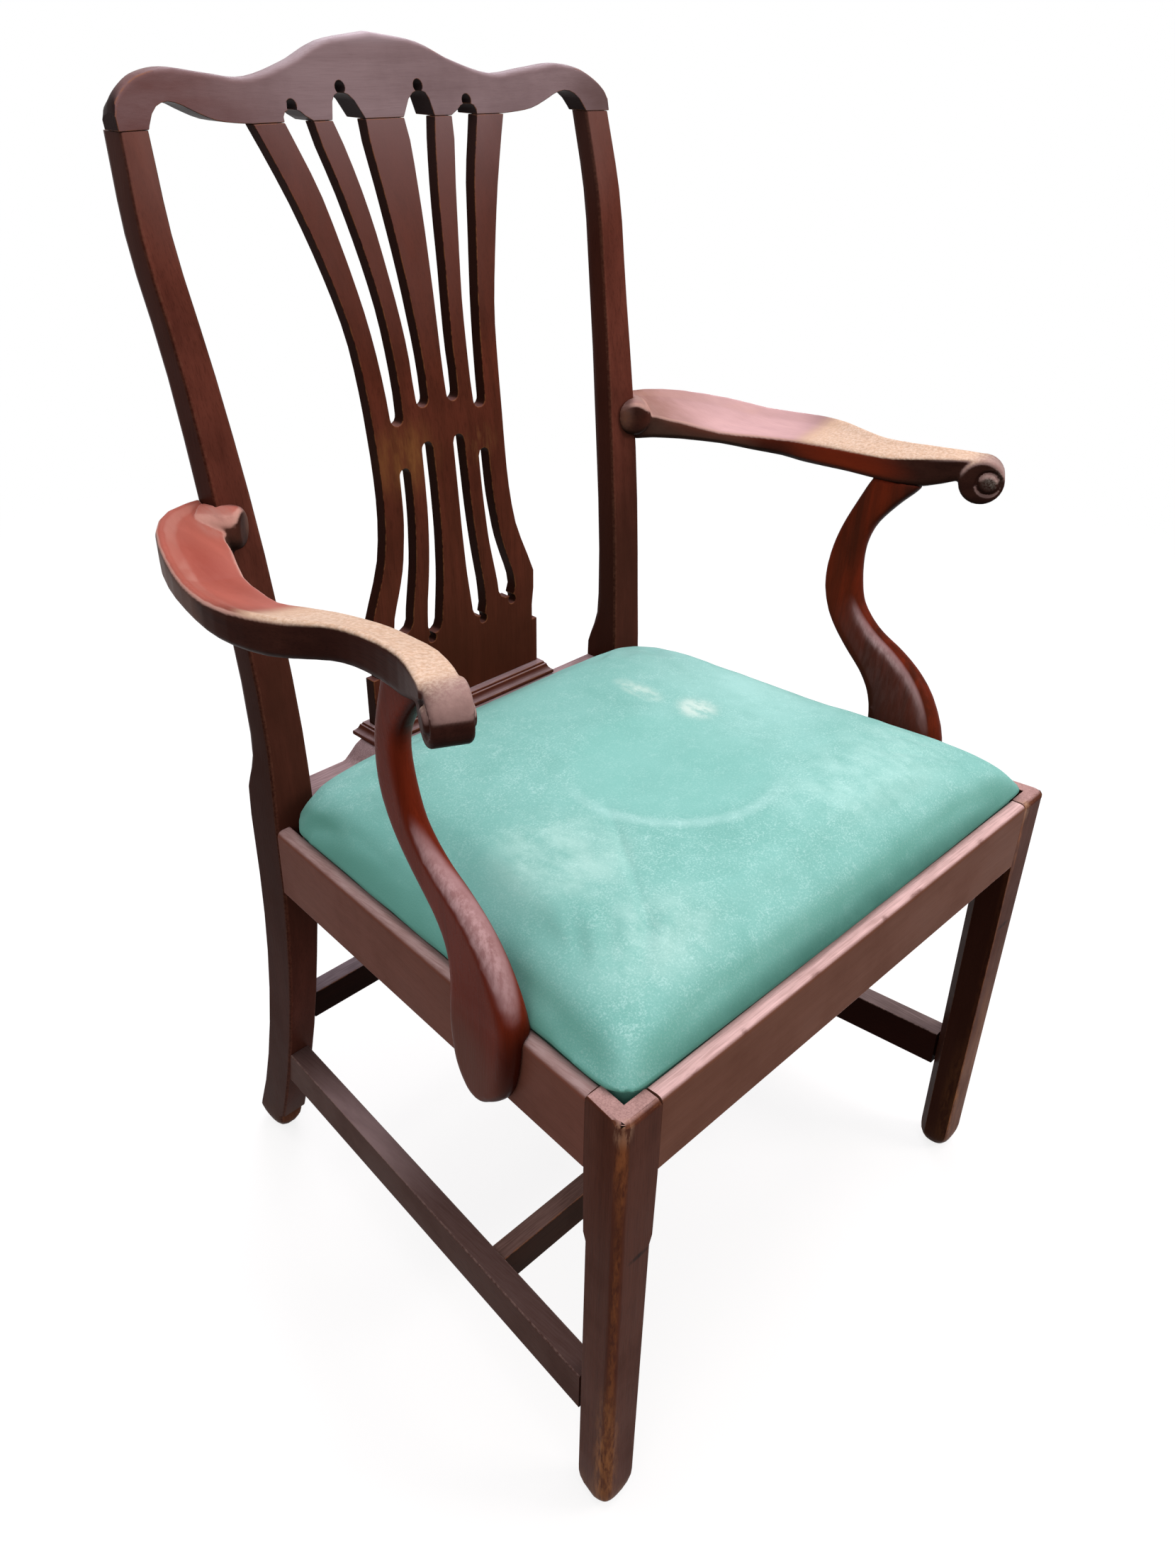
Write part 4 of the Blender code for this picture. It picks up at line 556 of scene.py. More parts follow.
@dataclass(frozen=True)
class GreenSuede:
    """Cotton suede cloth, woven and brushed: a short nap that looks lighter where it is rubbed the other way,
    fine speckle, pale scuffs, a soft bright edge where the nap is seen from the side, and no gloss. Painted
    shade lies on its sides, on its left and along the lip, and painted light on the right of its top."""

    name: str = "green_brushed_suede_cloth"
    # Colour of the faces that look sideways: less rubbed nap, and painted shade.
    side: str = "62a191"
    deep: str = "71aca1"
    body: str = "83bbb1"
    rubbed: str = "b4dbd4"
    sheen_tint: str = "c0e4da"
    # The nap is 0.3 mm. It is drawn at 1.4 mm so that the speckle shows in the render.
    nap: float = 0.0014
    mottle: float = 0.075
    scuff: float = 0.016
    squeeze: Point = (1.0, 0.6, 1.0)
    # Real marks and rubbed patches of the cloth, with painted shade and painted light among them.
    stains_and_painted_light: tuple[Patch, ...] = (
        # painted shade over the left of the top
        Patch((-0.26, -0.03, 0.47), (0.15, 0.26, 0.2), "6da89d", 0.80, 0.050, 0.7, soft=0.8),
        # darker at the middle of the back
        Patch((0.03, 0.09, 0.47), (0.17, 0.11, 0.2), "7fb4aa", 0.60, 0.050, 0.7),
        # painted light on the right of the top
        Patch((0.20, 0.02, 0.47), (0.13, 0.20, 0.2), "a6d4cc", 0.60, 0.030, 0.5),
        Patch((0.002, -0.074, 0.47), (0.092, 0.092, 0.2), "82bdb2", 0.60, 0.030, 0.7, soft=0.25),
        Patch((0.078, 0.027, 0.47), (0.016, 0.036, 0.2), "cfe0d4", 0.70, 0.010, 0.2),
        Patch((0.090, -0.029, 0.47), (0.024, 0.026, 0.2), "d6e3d8", 0.85, 0.009, 0.2),
        Patch((-0.148, -0.105, 0.47), (0.070, 0.075, 0.2), "bfe2d8", 0.50, 0.022, 0.25),
        Patch((0.120, -0.190, 0.47), (0.150, 0.065, 0.2), "b6ded5", 0.50, 0.022, 0.25),
        Patch((-0.165, -0.205, 0.47), (0.075, 0.050, 0.2), "bde0d7", 0.45, 0.022, 0.25),
        Patch((0.130, -0.050, 0.47), (0.120, 0.120, 0.2), "aedcd4", 0.40, 0.040, 0.4),
    )
    dark_round: Point = (0.002, -0.074, 0.090)
    arc_way: Point = (-0.68, -0.73, 0)
    lip_shade: Patch = Patch((0.0, -0.273, 0.432), (0.40, 0.033, 0.033), "3e6f63", 0.95, 0.030, 0.85)

    def material(self) -> Material:
        """Make the node material.

        Returns:
            The new material.
        """
        cloth = Surface(self.name)
        cloud = cloth.noise(cloth.coords, 1 / self.mottle, 6.0, 0.60, 0.4)
        nap = cloth.noise(cloth.coords, 1 / self.nap, 2.0, 0.7)
        scuffs = cloth.noise(cloth.coords, 1 / self.scuff, 6.0, 0.75, 0.8)
        layers = [
            (cloth.spread(cloud, 0.30, 0.62), self.body),
            (cloth.spread(nap, 0.45, 0.75, 0.0, 0.28), self.rubbed),
            (cloth.spread(cloth.calc("ADD", scuffs, nap), 1.02, 1.32, 0.0, 0.60), self.rubbed),
        ]
        layers += [stain.layer(cloth, self.squeeze) for stain in self.stains_and_painted_light]
        # the side colour on faces that look sideways is partly less rubbed nap and partly painted shade
        layers += [
            (self.arc_mask(cloth, scuffs), self.rubbed), (cloth.facing((0.97, 0.25)), self.side),
            self.lip_shade.layer(cloth, self.squeeze),
        ]
        return cloth.finish({
            "Base Color": cloth.layered(self.deep, layers), "Normal": cloth.bump(nap, 0.25),
            "Roughness": 0.92, "Specular IOR Level": 0.10, "Sheen Weight": 0.15, "Sheen Roughness": 0.45,
            "Sheen Tint": linear(self.sheen_tint),
        })

    def arc_mask(self, cloth: Surface, scuffs: Socket) -> Socket:
        """Draw the pale arc rubbed into the nap at the front of the dark round patch.

        Args:
            cloth: Material to work on.
            scuffs: Pattern that breaks the arc up.

        Returns:
            Socket with the share of the arc.
        """
        x, y, radius = self.dark_round
        flat = add_node(cloth.tree, "ShaderNodeMapping", {
            "Vector": cloth.coords, "Location": (-x, -y, 0), "Scale": (1, 1, 0),
        }).outputs[0]
        away = cloth.calc("ABSOLUTE", cloth.calc("SUBTRACT", cloth.vector("LENGTH", flat), radius))
        band = cloth.spread(away, 0.009, 0.001, eased=True)
        toward = cloth.vector("DOT_PRODUCT", flat, self.arc_way)
        front = cloth.spread(toward, radius * 0.2, radius * 0.8, 0.0, 0.7)
        return cloth.calc("MULTIPLY", cloth.calc("MULTIPLY", band, front), scuffs)


@dataclass
class RigidPieces:
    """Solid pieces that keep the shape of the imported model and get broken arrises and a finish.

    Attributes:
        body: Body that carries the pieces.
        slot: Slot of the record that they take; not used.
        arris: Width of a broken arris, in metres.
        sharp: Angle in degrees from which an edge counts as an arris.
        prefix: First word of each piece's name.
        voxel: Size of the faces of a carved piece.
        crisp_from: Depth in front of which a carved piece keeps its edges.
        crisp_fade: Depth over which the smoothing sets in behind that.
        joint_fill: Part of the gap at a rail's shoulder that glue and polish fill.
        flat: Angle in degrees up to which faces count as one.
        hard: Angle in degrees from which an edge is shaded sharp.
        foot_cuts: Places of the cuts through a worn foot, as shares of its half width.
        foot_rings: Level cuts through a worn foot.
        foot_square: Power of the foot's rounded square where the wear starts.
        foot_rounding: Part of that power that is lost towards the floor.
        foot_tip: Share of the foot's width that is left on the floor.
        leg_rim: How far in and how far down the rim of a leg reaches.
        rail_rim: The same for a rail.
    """

    body: str = FRAME_BODY
    slot: Slot = Slot.MAHOGANY
    arris: float = 0.0011
    sharp: float = 38.0
    prefix: str = "polished"
    voxel: float = 0.0012
    crisp_from: float = -1.0
    crisp_fade: float = 0.03
    joint_fill: float = 0.00025
    flat: float = 0.8
    hard: float = 40.0
    foot_cuts: tuple[float, ...] = (-0.85, -0.6, -0.3, 0.0, 0.3, 0.6, 0.85)
    foot_rings: int = 8
    foot_square: float = 8.0
    foot_rounding: float = 5.6
    foot_tip: float = 0.36
    leg_rim: Span = (0.0026, 0.004)
    rail_rim: Span = (0.002, 0.025)

    def dress(self, node: str, material: Material, width: float | None = None, edges: Arris = Arris.ALL,
              lip: float = 0.0, foot: float = 0.0, passes: int = 0) -> Piece:
        """Make a finished copy of a solid and put it in the solid's place.

        Args:
            node: Name of the solid.
            material: Finish of the piece.
            width: Width of its arrises, or None for the usual one.
            edges: Edges that are broken.
            lip: Width of the rounding along its top outer edge, or 0 for none.
            foot: Height over which its foot is worn round, or 0 for none.
            passes: Rounds of smoothing for a carved piece, or 0 for a planed one.

        Returns:
            The piece.
        """
        bm = bmesh.new()
        bm.from_mesh(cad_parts[node].data)
        bmesh.ops.remove_doubles(bm, verts=bm.verts, dist=WELD)
        bmesh.ops.dissolve_limit(
            bm, angle_limit=math.radians(self.flat), use_dissolve_boundaries=False, verts=bm.verts,
            edges=bm.edges, delimit={"NORMAL"},
        )
        if edges in (Arris.ACROSS, Arris.DEEP):
            self.close_joints(bm, edges.value)
        worn = bm.faces.layers.float.new("arris")
        rim = [e for e in self.ridges(bm, edges) if lip and self.on_rim(e, node)]
        self.round_over(bm, rim, lip, 4, worn)
        ridges = [e for e in self.ridges(bm, edges) if not lip or not self.on_rim(e, node)]
        self.round_over(bm, ridges, self.arris if width is None else width, 3, worn)
        if foot:
            self.wear_foot(bm, foot)
        self.shade(bm, edges)
        piece = add_piece(f"{self.prefix}_{node}", bm, material)
        if passes:
            self.carve(piece, passes)
        shading = piece.modifiers.new("even_shading", "WEIGHTED_NORMAL")
        shading.keep_sharp = True
        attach(piece, self.body)
        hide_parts(node)
        LOG.info("%s: %d faces", piece.name, len(piece.data.polygons))
        return piece

    @staticmethod
    def polish(name: str, grain: Grain, **looks: Any) -> Material:
        """Make the wax polish of one piece of mahogany."""
        return PolishedMahogany(f"wax_polished_mahogany_{name}", grain, **looks).material()

    def shade(self, bm: Mesh, edges: Arris) -> None:
        """Shade the faces smooth and keep hard edges, and the shoulders of an upright piece, sharp.

        Args:
            bm: Mesh to work on.
            edges: Edges of the piece that were broken.
        """
        for face in bm.faces:
            face.smooth = True
        bm.normal_update()
        for edge in bm.edges:
            shoulder = edges is Arris.UPRIGHT and len({f.normal.z > 0.75 for f in edge.link_faces}) == 2
            gentle = not edge.is_manifold or edge.calc_face_angle(0) < math.radians(self.hard)
            edge.smooth = gentle and not shoulder

    def carve(self, piece: Piece, passes: int) -> None:
        """Give a carved piece flowing faces and soft edges.

        Args:
            piece: Piece to work on.
            passes: Rounds of smoothing.
        """
        even_faces(piece, self.voxel)
        soft = piece.vertex_groups.new(name="soft")
        for vert in piece.data.vertices:
            share = smooth_share(vert.co.y, self.crisp_from, self.crisp_from + self.crisp_fade)
            soft.add([vert.index], share, "REPLACE")
        flow = piece.modifiers.new("flow", "SMOOTH")
        flow.iterations = passes
        flow.vertex_group = soft.name
        settle(piece)
        piece.vertex_groups.clear()

    def ridges(self, bm: Mesh, edges: Arris) -> list[bmesh.types.BMEdge]:
        """Find the outer edges that get broken.

        Args:
            bm: Mesh to search.
            edges: Choice of edges.

        Returns:
            The edges.
        """
        angle = math.radians(self.sharp)
        found = [e for e in bm.edges if e.is_manifold and e.calc_face_angle_signed(0) > angle]
        if edges is Arris.ALL:
            return found
        return [e for e in found if abs((e.verts[0].co - e.verts[1].co).normalized()[edges.value]) > 0.8]

    def close_joints(self, bm: Mesh, axis: int) -> None:
        """Bring the shoulders of a rail up to the legs, as glue and polish do.

        Args:
            bm: Mesh of the rail.
            axis: Axis that the rail runs along.
        """
        places = [v.co[axis] for v in bm.verts]
        middle = (min(places) + max(places)) / 2
        for vert in bm.verts:
            vert.co[axis] += math.copysign(self.joint_fill, vert.co[axis] - middle)

    def on_rim(self, edge: bmesh.types.BMEdge, node: str) -> bool:
        """Tell whether an edge lies along the top outer rim of a rail or of a front leg.

        Args:
            edge: Edge to place.
            node: Name of the solid that it belongs to.

        Returns:
            True for an edge of the rim.
        """
        low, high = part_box(node)
        size = high - low
        middle = (edge.verts[0].co + edge.verts[1].co) / 2
        upright = size.z > max(size.x, size.y)
        inward, down = self.leg_rim if upright else self.rail_rim
        if upright:
            outside = middle.y - low.y < inward or abs(middle.x) > max(abs(low.x), abs(high.x)) - inward
        elif size.x > size.y:
            outside = middle.y - low.y < inward
        else:
            outside = abs(middle.x) > 0.5 * (abs(low.x) + abs(high.x)) - inward
        return outside and middle.z > high.z - down

    @staticmethod
    def round_over(bm: Mesh, edges: list[bmesh.types.BMEdge], width: float, steps: int,
                   worn: bmesh.types.BMLayerItem) -> None:
        """Round edges over and mark the new faces as worn.

        Args:
            bm: Mesh to work on.
            edges: Edges to round.
            width: Width of the rounding.
            steps: Faces across the rounding.
            worn: Face layer that marks a worn arris.
        """
        if width <= 0 or not edges:
            return
        made = bmesh.ops.bevel(
            bm, geom=edges, offset=width, offset_type="OFFSET", affect="EDGES", segments=steps, profile=0.5,
            clamp_overlap=False, material=-1, loop_slide=True,
        )
        for face in made["faces"]:
            face[worn] = 1.0

    def wear_foot(self, bm: Mesh, height: float) -> None:
        """Wear the end of a leg to a blunt bullet.

        Args:
            bm: Mesh of the leg, standing on zero.
            height: Height of the worn end.
        """
        level = height * 1.001
        low, high = (Vector([pick(v.co[i] for v in bm.verts if v.co.z < level) for i in (0, 1)])
                     for pick in (min, max))
        middle = (low + high) / 2
        half = (high - low) / 2
        rings = range(self.foot_rings, 0, -1)
        cuts = [(Vector((0, 0, height * (ring / self.foot_rings) ** 2)), Vector((0, 0, 1))) for ring in rings]
        cuts += [(Vector((middle.x + half.x * part, 0, 0)), Vector((1, 0, 0))) for part in self.foot_cuts]
        cuts += [(Vector((0, middle.y + half.y * part, 0)), Vector((0, 1, 0))) for part in self.foot_cuts]
        for place, way in cuts:
            faces = [f for f in bm.faces if way.z or f.calc_center_median().z < level]
            lines = list({e for f in faces for e in f.edges})
            points = list({v for f in faces for v in f.verts})
            bmesh.ops.bisect_plane(bm, geom=faces + lines + points, plane_co=place, plane_no=way, dist=1e-6)
        for vert in bm.verts:
            if vert.co.z > level:
                continue
            out = vert.co.xy - middle
            drop = max(1 - vert.co.z / height, 0.0)
            power = self.foot_square - self.foot_rounding * smooth_share(drop, 0.0, 0.8)
            reach = (abs(out.x / half.x) ** power + abs(out.y / half.y) ** power) ** (1 / power)
            limit = self.foot_tip + (1 - self.foot_tip) * math.sqrt(max(1 - drop ** 3.0, 0.0))
            if reach > limit:
                vert.co.xy = middle + out * (limit / reach)


@dataclass
class ChairBack(RigidPieces):
    """Crest rail, pierced splat, the two posts with their back legs, the back rail and its moulded shoe."""

    fine: float = 0.0007

    def build(self) -> None:
        """Dress each piece of the back."""
        for word, sign in SIDES:
            # Posts: their side faces get painted shade, the top patch is a painted sheen and the middle patch
            # painted shade.
            post = self.polish(
                f"{word}_post", Grain.UPRIGHT, deep="2c130d", body="5c2f25", light="6c392d",
                worn="8a5c48", arris_wear=0.16, rub_size=0.003, grime="2a130d", grime_share=0.70, patches=(
                    Patch((sign * 0.205, 0.25, 0.93), (0.07, 0.07, 0.14), "7c564e", 0.9, 0.03, 0.7),
                    Patch((sign * 0.205, 0.18, 0.42), (0.07, 0.10, 0.26), "3f2219", 0.85, 0.03, 0.7,
                          soft=0.6),
                    Patch((sign * 0.213, 0.235, 0.10), (0.06, 0.10, 0.22), "523329", 0.8, 0.03, 0.7),
                    Patch((sign * 0.213, 0.235, 0.0), (0.06, 0.06, 0.05), "7d5236", 0.6),
                ),
            )
            self.dress(f"back_post_{word}", post, 0.0026, Arris.UPRIGHT, foot=0.024)
        # Crest: its grey-lilac body colours hold a painted reflection of the sky, darker at its two ends
        # where that painted reflection gives out, the patch along its top is a painted highlight, and its
        # soffits and walls get painted shade.
        crest = self.polish(
            "crest", Grain.ACROSS, deep="5f4949", body="856e6f", light="8f7879",
            bloom="a39295", bloom_share=0.6, roughness=0.38, sheen_level=0.02, sheen_tint="f2e4ea",
            grime="170b09", grime_share=0.9, pore_depth=0.12, patches=(
                Patch((-0.24, 0.25, 0.93), (0.19, 0.10, 0.08), "66413d", 0.95, 0.03, 0.7),
                Patch((0.23, 0.25, 0.93), (0.06, 0.10, 0.05), "5f4744", 0.8, 0.03, 0.7),
                Patch((0.0, 0.25, 0.988), (0.15, 0.10, 0.018), "b9a7ac", 0.85, 0.03, 0.8),
            ),
        )
        self.dress("crest_rail", crest, self.fine)
        # Splat: the top two patches are a painted sheen that fades downwards, the bottom patch is painted
        # shade, and the walls of its slots get painted shade.
        splat = self.polish(
            "splat", Grain.UPRIGHT, deep="26100a", body="51281c", light="612f22",
            grime="190a06", grime_share=0.85, patches=(
                Patch((0.02, 0.24, 0.97), (0.24, 0.10, 0.15), "8a7170", 0.95, 0.03, 0.8, soft=0.85),
                Patch((0.0, 0.22, 0.86), (0.20, 0.10, 0.13), "66413a", 0.7, 0.03, 0.7, soft=0.8),
                Patch((-0.042, 0.19, 0.680), (0.045, 0.06, 0.040), "82522e", 0.75, 0.010, 0.25),
                Patch((0.040, 0.19, 0.678), (0.026, 0.06, 0.022), "744a2d", 0.5, 0.006, 0.0),
                Patch((0.0, 0.19, 0.46), (0.16, 0.06, 0.13), "402014", 0.8, 0.03, 0.7),
            ),
        )
        self.dress("splat", splat, self.fine)
        rail = self.polish(
            "back_rail", Grain.ACROSS, body="50281e", light="5c3024", bloom="b59c9e", bloom_share=0.6,
        )
        self.dress("back_rail", rail, edges=Arris.ACROSS)
        self.dress("shoe", rail, self.fine, Arris.ACROSS)


@dataclass
class SeatFrame(RigidPieces):
    """Front and side rails, front legs and the beech corner blocks."""

    lip_round: float = 0.0036
    nicks: tuple[Span, ...] = (
        (-0.205, 0.010), (-0.152, 0.004), (-0.071, 0.009), (0.018, 0.005), (0.062, 0.012), (0.161, 0.006),
    )

    def build(self) -> None:
        """Dress each piece of the seat frame."""
        # Front rail: the pale pink along its lip is partly rubbed polish and partly a painted highlight, on
        # its top face and on its rounded arris.
        front = self.polish(
            "front_rail", Grain.ACROSS, deep="4c2a1f", body="6d4636", light="744c3c",
            arris_wear=0.9, worn="cf9f98", bloom="e0bab6", bloom_share=0.88, pore_depth=0.14, patches=tuple(
                Patch((x, -0.276, 0.429), (wide, 0.0045, 0.0045), "5e372c", 0.9, 0.004, 0.2)
                for x, wide in self.nicks
            ),
        )
        self.dress("front_rail", front, edges=Arris.ACROSS, lip=self.lip_round)
        chip = Patch((-0.262, -0.206, 0.432), (0.004, 0.003, 0.006), "efe6da", 0.9, 0.02, 0.9)
        for word, sign in SIDES:
            # Side rails: the pale lilac on their lips is partly rubbed polish and partly a painted highlight.
            side = self.polish(
                f"{word}_rail", Grain.DEEP, deep="4b2c22", body="724639", light="794b3e", worn="94706a",
                bloom="a58a86", bloom_share=0.8, pore_depth=0.14, patches=(chip,) if sign < 0 else (),
            )
            self.dress(f"side_rail_{word}", side, edges=Arris.DEEP, lip=self.lip_round * 0.6)
            x = -0.2700 if sign < 0 else 0.2372
            # Legs: their pale tops are a painted sheen, and only the right leg gets painted shade on its
            # sides.
            leg = self.polish(
                f"{word}_leg", Grain.UPRIGHT, deep="2a140e", body="4e2b20", light="593327",
                arris_wear=0.2, bloom="b8928c", bloom_share=0.85, bloom_rise=(0.70, 0.95),
                grime="26120c", grime_share=0.0 if sign < 0 else 0.8, patches=(
                    Patch((x, -0.275, 0.425), (0.010, 0.010, 0.020), "b08a70", 0.85, 0.004, 0.05),
                    Patch((x, -0.275, 0.385), (0.007, 0.007, 0.06), "8f5634", 0.85, 0.004, 0.0, Facing.SIDES),
                    Patch((x, -0.275, 0.22), (0.0045, 0.0045, 0.30), "7d4a2c", 0.80, 0.003, 0.0),
                    Patch((x, -0.272, 0.06), (0.014, 0.014, 0.13), "96623c", 0.90, 0.004, 0.1),
                    Patch((x, -0.262, 0.0), (0.05, 0.05, 0.040), "7d5338", 0.75, 0.006, 0.2),
                    Patch((0.262, -0.280, 0.13), (0.030, 0.020, 0.20), "84593f", 0.85, 0.012, 0.3, soft=0.9),
                    # painted shadow under the step in the leg's front face
                    Patch((sign * 0.250, -0.277, 0.294), (0.014, 0.006, 0.0035), "160b08", 0.9, 0.004, 0.5),
                ),
            )
            self.dress(f"front_leg_{word}", leg, 0.0004, lip=self.lip_round, foot=0.027)
        beech = SawnBeech("sawn_beech_corner_blocks", Grain.ACROSS).material()
        blocks = RigidPieces(slot=Slot.BEECH, prefix="sawn")
        for corner in ("back_left", "back_right", "front_left", "front_right"):
            blocks.dress(f"corner_block_{corner}", beech)


@dataclass
class Underframe(RigidPieces):
    """Stretchers that tie the legs."""

    def build(self) -> None:
        """Dress each stretcher."""
        # painted highlight on the rear half of each side stretcher's top
        dust_and_highlight = Patch((-0.24, 0.065, 0.13), (0.08, 0.13, 0.03), "9c8482", 0.9, 0.02, 0.7, Facing.UPPER, 0.9)
        # The right stretcher's darker colours are painted shade; the pale up-facing layer on both is a
        # painted sheen.
        for side, deep, body, bloom in (
            ("left", "2a140e", "4c2e25", "5f4a46"), ("right", "120806", "240f0a", "84726f"),
        ):
            wood = self.polish(
                f"{side}_stretcher", Grain.DEEP, deep=deep, body=body, light=body, bloom=bloom,
                bloom_share=0.85, arris_wear=0.6, worn="8a7068", rub_size=0.004, patches=(dust_and_highlight,),
            )
            self.dress(f"side_stretcher_{side}", wood, edges=Arris.DEEP)
        # The cross and back stretchers are painted darker, as shade under the seat, with a painted sheen on
        # their tops.
        for word, deep, body, light, bloom, share in (
            ("cross", "170a06", "2c1910", "382015", "7a5f58", 0.7),
            ("back", "120806", "1c0e0b", "26130f", "8a7a7e", 0.8),
        ):
            wood = self.polish(
                f"{word}_stretcher", Grain.ACROSS, deep=deep, body=body, light=light, bloom=bloom,
                bloom_share=share,
            )
            self.dress(f"{word}_stretcher", wood, edges=Arris.ACROSS)


@dataclass
class Arms(RigidPieces):
    """Shepherd's crook arms, their swept supports and the screws that hold them."""

    worn_arm_end: float = -0.175

    def build(self) -> None:
        """Dress both arms, both supports and the screws."""
        wood = RigidPieces(slot=Slot.WORN_MAHOGANY, sharp=50, voxel=0.0011, crisp_from=-0.150)
        shades = {
            "left": Patch((-0.275, 0.10, 0.69), (0.03, 0.09, 0.05), "94463a", 0.8, 0.02, 0.5,
                          Facing.UPPER, 0.8),
            "right": Patch((0.225, 0.17, 0.69), (0.08, 0.10, 0.05), "8c6456", 0.9, 0.02, 0.7, Facing.UPPER),
        }
        # The right arm's top colour is a pale lilac painted sheen; the left arm's is its worn red polish.
        for side, sign, tan_from, red, flank, rear in (
            ("left", -1, 0.020, "ad5f51", "8f4a34", "a8786d"),
            ("right", 1, 0.022, "cfa6a4", "852e18", "96766c"),
        ):
            x = sign * 0.262
            middle = (tan_from + self.worn_arm_end) / 2
            reach = (tan_from - self.worn_arm_end) / 2
            arm = PolishedMahogany(
                f"worn_mahogany_{side}_arm", Grain.DEEP, deep="1d100e", body="351d18", light="41251e",
                arris_wear=0.0, bloom_share=0.0, grime="24130f", grime_share=0.0, patches=(
                    Patch((sign * 0.310, 0.13, 0.66), (0.10, 0.09, 0.05), "63463c", 0.9, 0.02, 0.7,
                          Facing.SIDES, 0.25),
                    Patch((sign * 0.220, 0.00, 0.67), (0.06, 0.17, 0.03), flank, 0.95, 0.02, 0.8,
                          Facing.SIDES, 0.4),
                    Patch((sign * 0.265, 0.11, 0.69), (0.10, 0.15, 0.06), red, 1.0, 0.03, 0.85,
                          Facing.UPPER, 0.4),
                    shades[side],
                    # painted highlight along the rounded rim of each arm's top
                    Patch((sign * 0.265, 0.11, 0.69), (0.12, 0.16, 0.06), "d8ab9c", 0.7, 0.02, 0.7,
                          Facing.RIM, 0.3),
                    # painted glints on the top of the arm by the knob
                    Patch((sign * 0.232, 0.163, 0.69), (0.022, 0.030, 0.03), rear, 0.85, 0.006, 0.4,
                          Facing.UPPER, 0.7),
                    Patch((sign * 0.205, 0.185, 0.68), (0.024, 0.024, 0.03), "5f4541", 0.9, 0.008, 0.8,
                          soft=0.35),
                    # painted grey-lilac sheen on the front of the scroll
                    Patch((x, -0.185, 0.680), (0.07, 0.075, 0.030), "a08079", 0.95, 0.006, 0.85,
                          Facing.FRONT, 0.4),
                    Patch((sign * 0.276, middle + 0.010, 0.69), (0.10, reach, 0.06), "cba98e", 1.0, 0.004,
                          0.85, Facing.UPPER, 0.25, True),
                    Patch((sign * 0.276, middle, 0.69), (0.10, reach, 0.06), "ecd8c4", 0.45, 0.0024, 0.0,
                          Facing.UPPER, 0.35, True),
                    Patch((x, -0.174, 0.677), (0.03, 0.020, 0.018), "f0e2d2", 0.9, 0.0020, 0.0, even=True),
                    # painted shade under the scroll
                    Patch((x, -0.165, 0.645), (0.08, 0.040, 0.020), "1d110f", 0.95, 0.01, 0.8, soft=0.5),
                    Patch((sign * 0.200, 0.172, 0.672), (0.018, 0.020, 0.020), "6b4434", 0.9, 0.003, 0.6,
                          Facing.SIDES),
                ),
            ).material()
            wood.dress(f"arm_{side}", arm, 0.0008, passes=12)
            # The left support's brighter body is a lit copy and the right's darker body a shaded copy of the
            # same wood, as painted light and painted shade; shine places the painted highlight.
            lit, shine, wide = ("672312", 0.266, 0.017) if sign < 0 else ("4c2014", 0.247, 0.007)
            support = self.polish(
                f"{side}_support", Grain.UPRIGHT, deep="3a1308", body=lit, light="742916",
                roughness=0.26, sheen_level=0.015, sheen_tint="f0dce0", bloom_share=0.0, arris_wear=0.0,
                pore_depth=0.18, patches=(
                    Patch((x, -0.14, 0.660), (0.05, 0.06, 0.055), "41201a", 0.8, 0.012, 0.6),
                    Patch((sign * 0.290, -0.10, 0.45), (0.026, 0.12, 0.14), "60271b", 0.9, 0.02, 0.8,
                          Facing.SIDES, 0.5),
                    # painted shade on the inner side, next to the cushion
                    Patch((sign * 0.235, -0.10, 0.47), (0.024, 0.12, 0.10), "331b14", 0.9, 0.02, 0.8,
                          Facing.SIDES, 0.6),
                    # painted highlight down the front of the support, with painted glints in it
                    Patch((sign * shine, -0.12, 0.495), (wide, 0.10, 0.075), "a67f7e", 0.95, 0.020, 0.7,
                          Facing.FRONT, 0.35),
                    Patch((sign * shine, -0.12, 0.495), (wide * 0.7, 0.10, 0.075), "c9a3a2", 0.7, 0.004, 0.0,
                          Facing.FRONT, 0.7),
                    # painted shadow low on the front, beside the rail
                    Patch((x, -0.185, 0.385), (0.03, 0.032, 0.075), "1f0a06", 0.9, 0.02, 0.85, soft=0.5),
                    Patch((sign * 0.290, -0.10, 0.36), (0.045, 0.10, 0.10), "613c31", 0.9, 0.02, 0.8,
                          Facing.SIDES, 0.4),
                ),
            )
            self.dress(f"arm_support_{side}", support, 0.0010, passes=30)
        steel = TurnedSteel("hand_turned_steel_screws").material()
        screws = RigidPieces(slot=Slot.STEEL, prefix="steel", arris=0.0)
        for side, _ in SIDES:
            for node in (f"arm_screw_{side}", f"support_screw_{side}_back", f"support_screw_{side}_front"):
                screws.dress(node, steel)


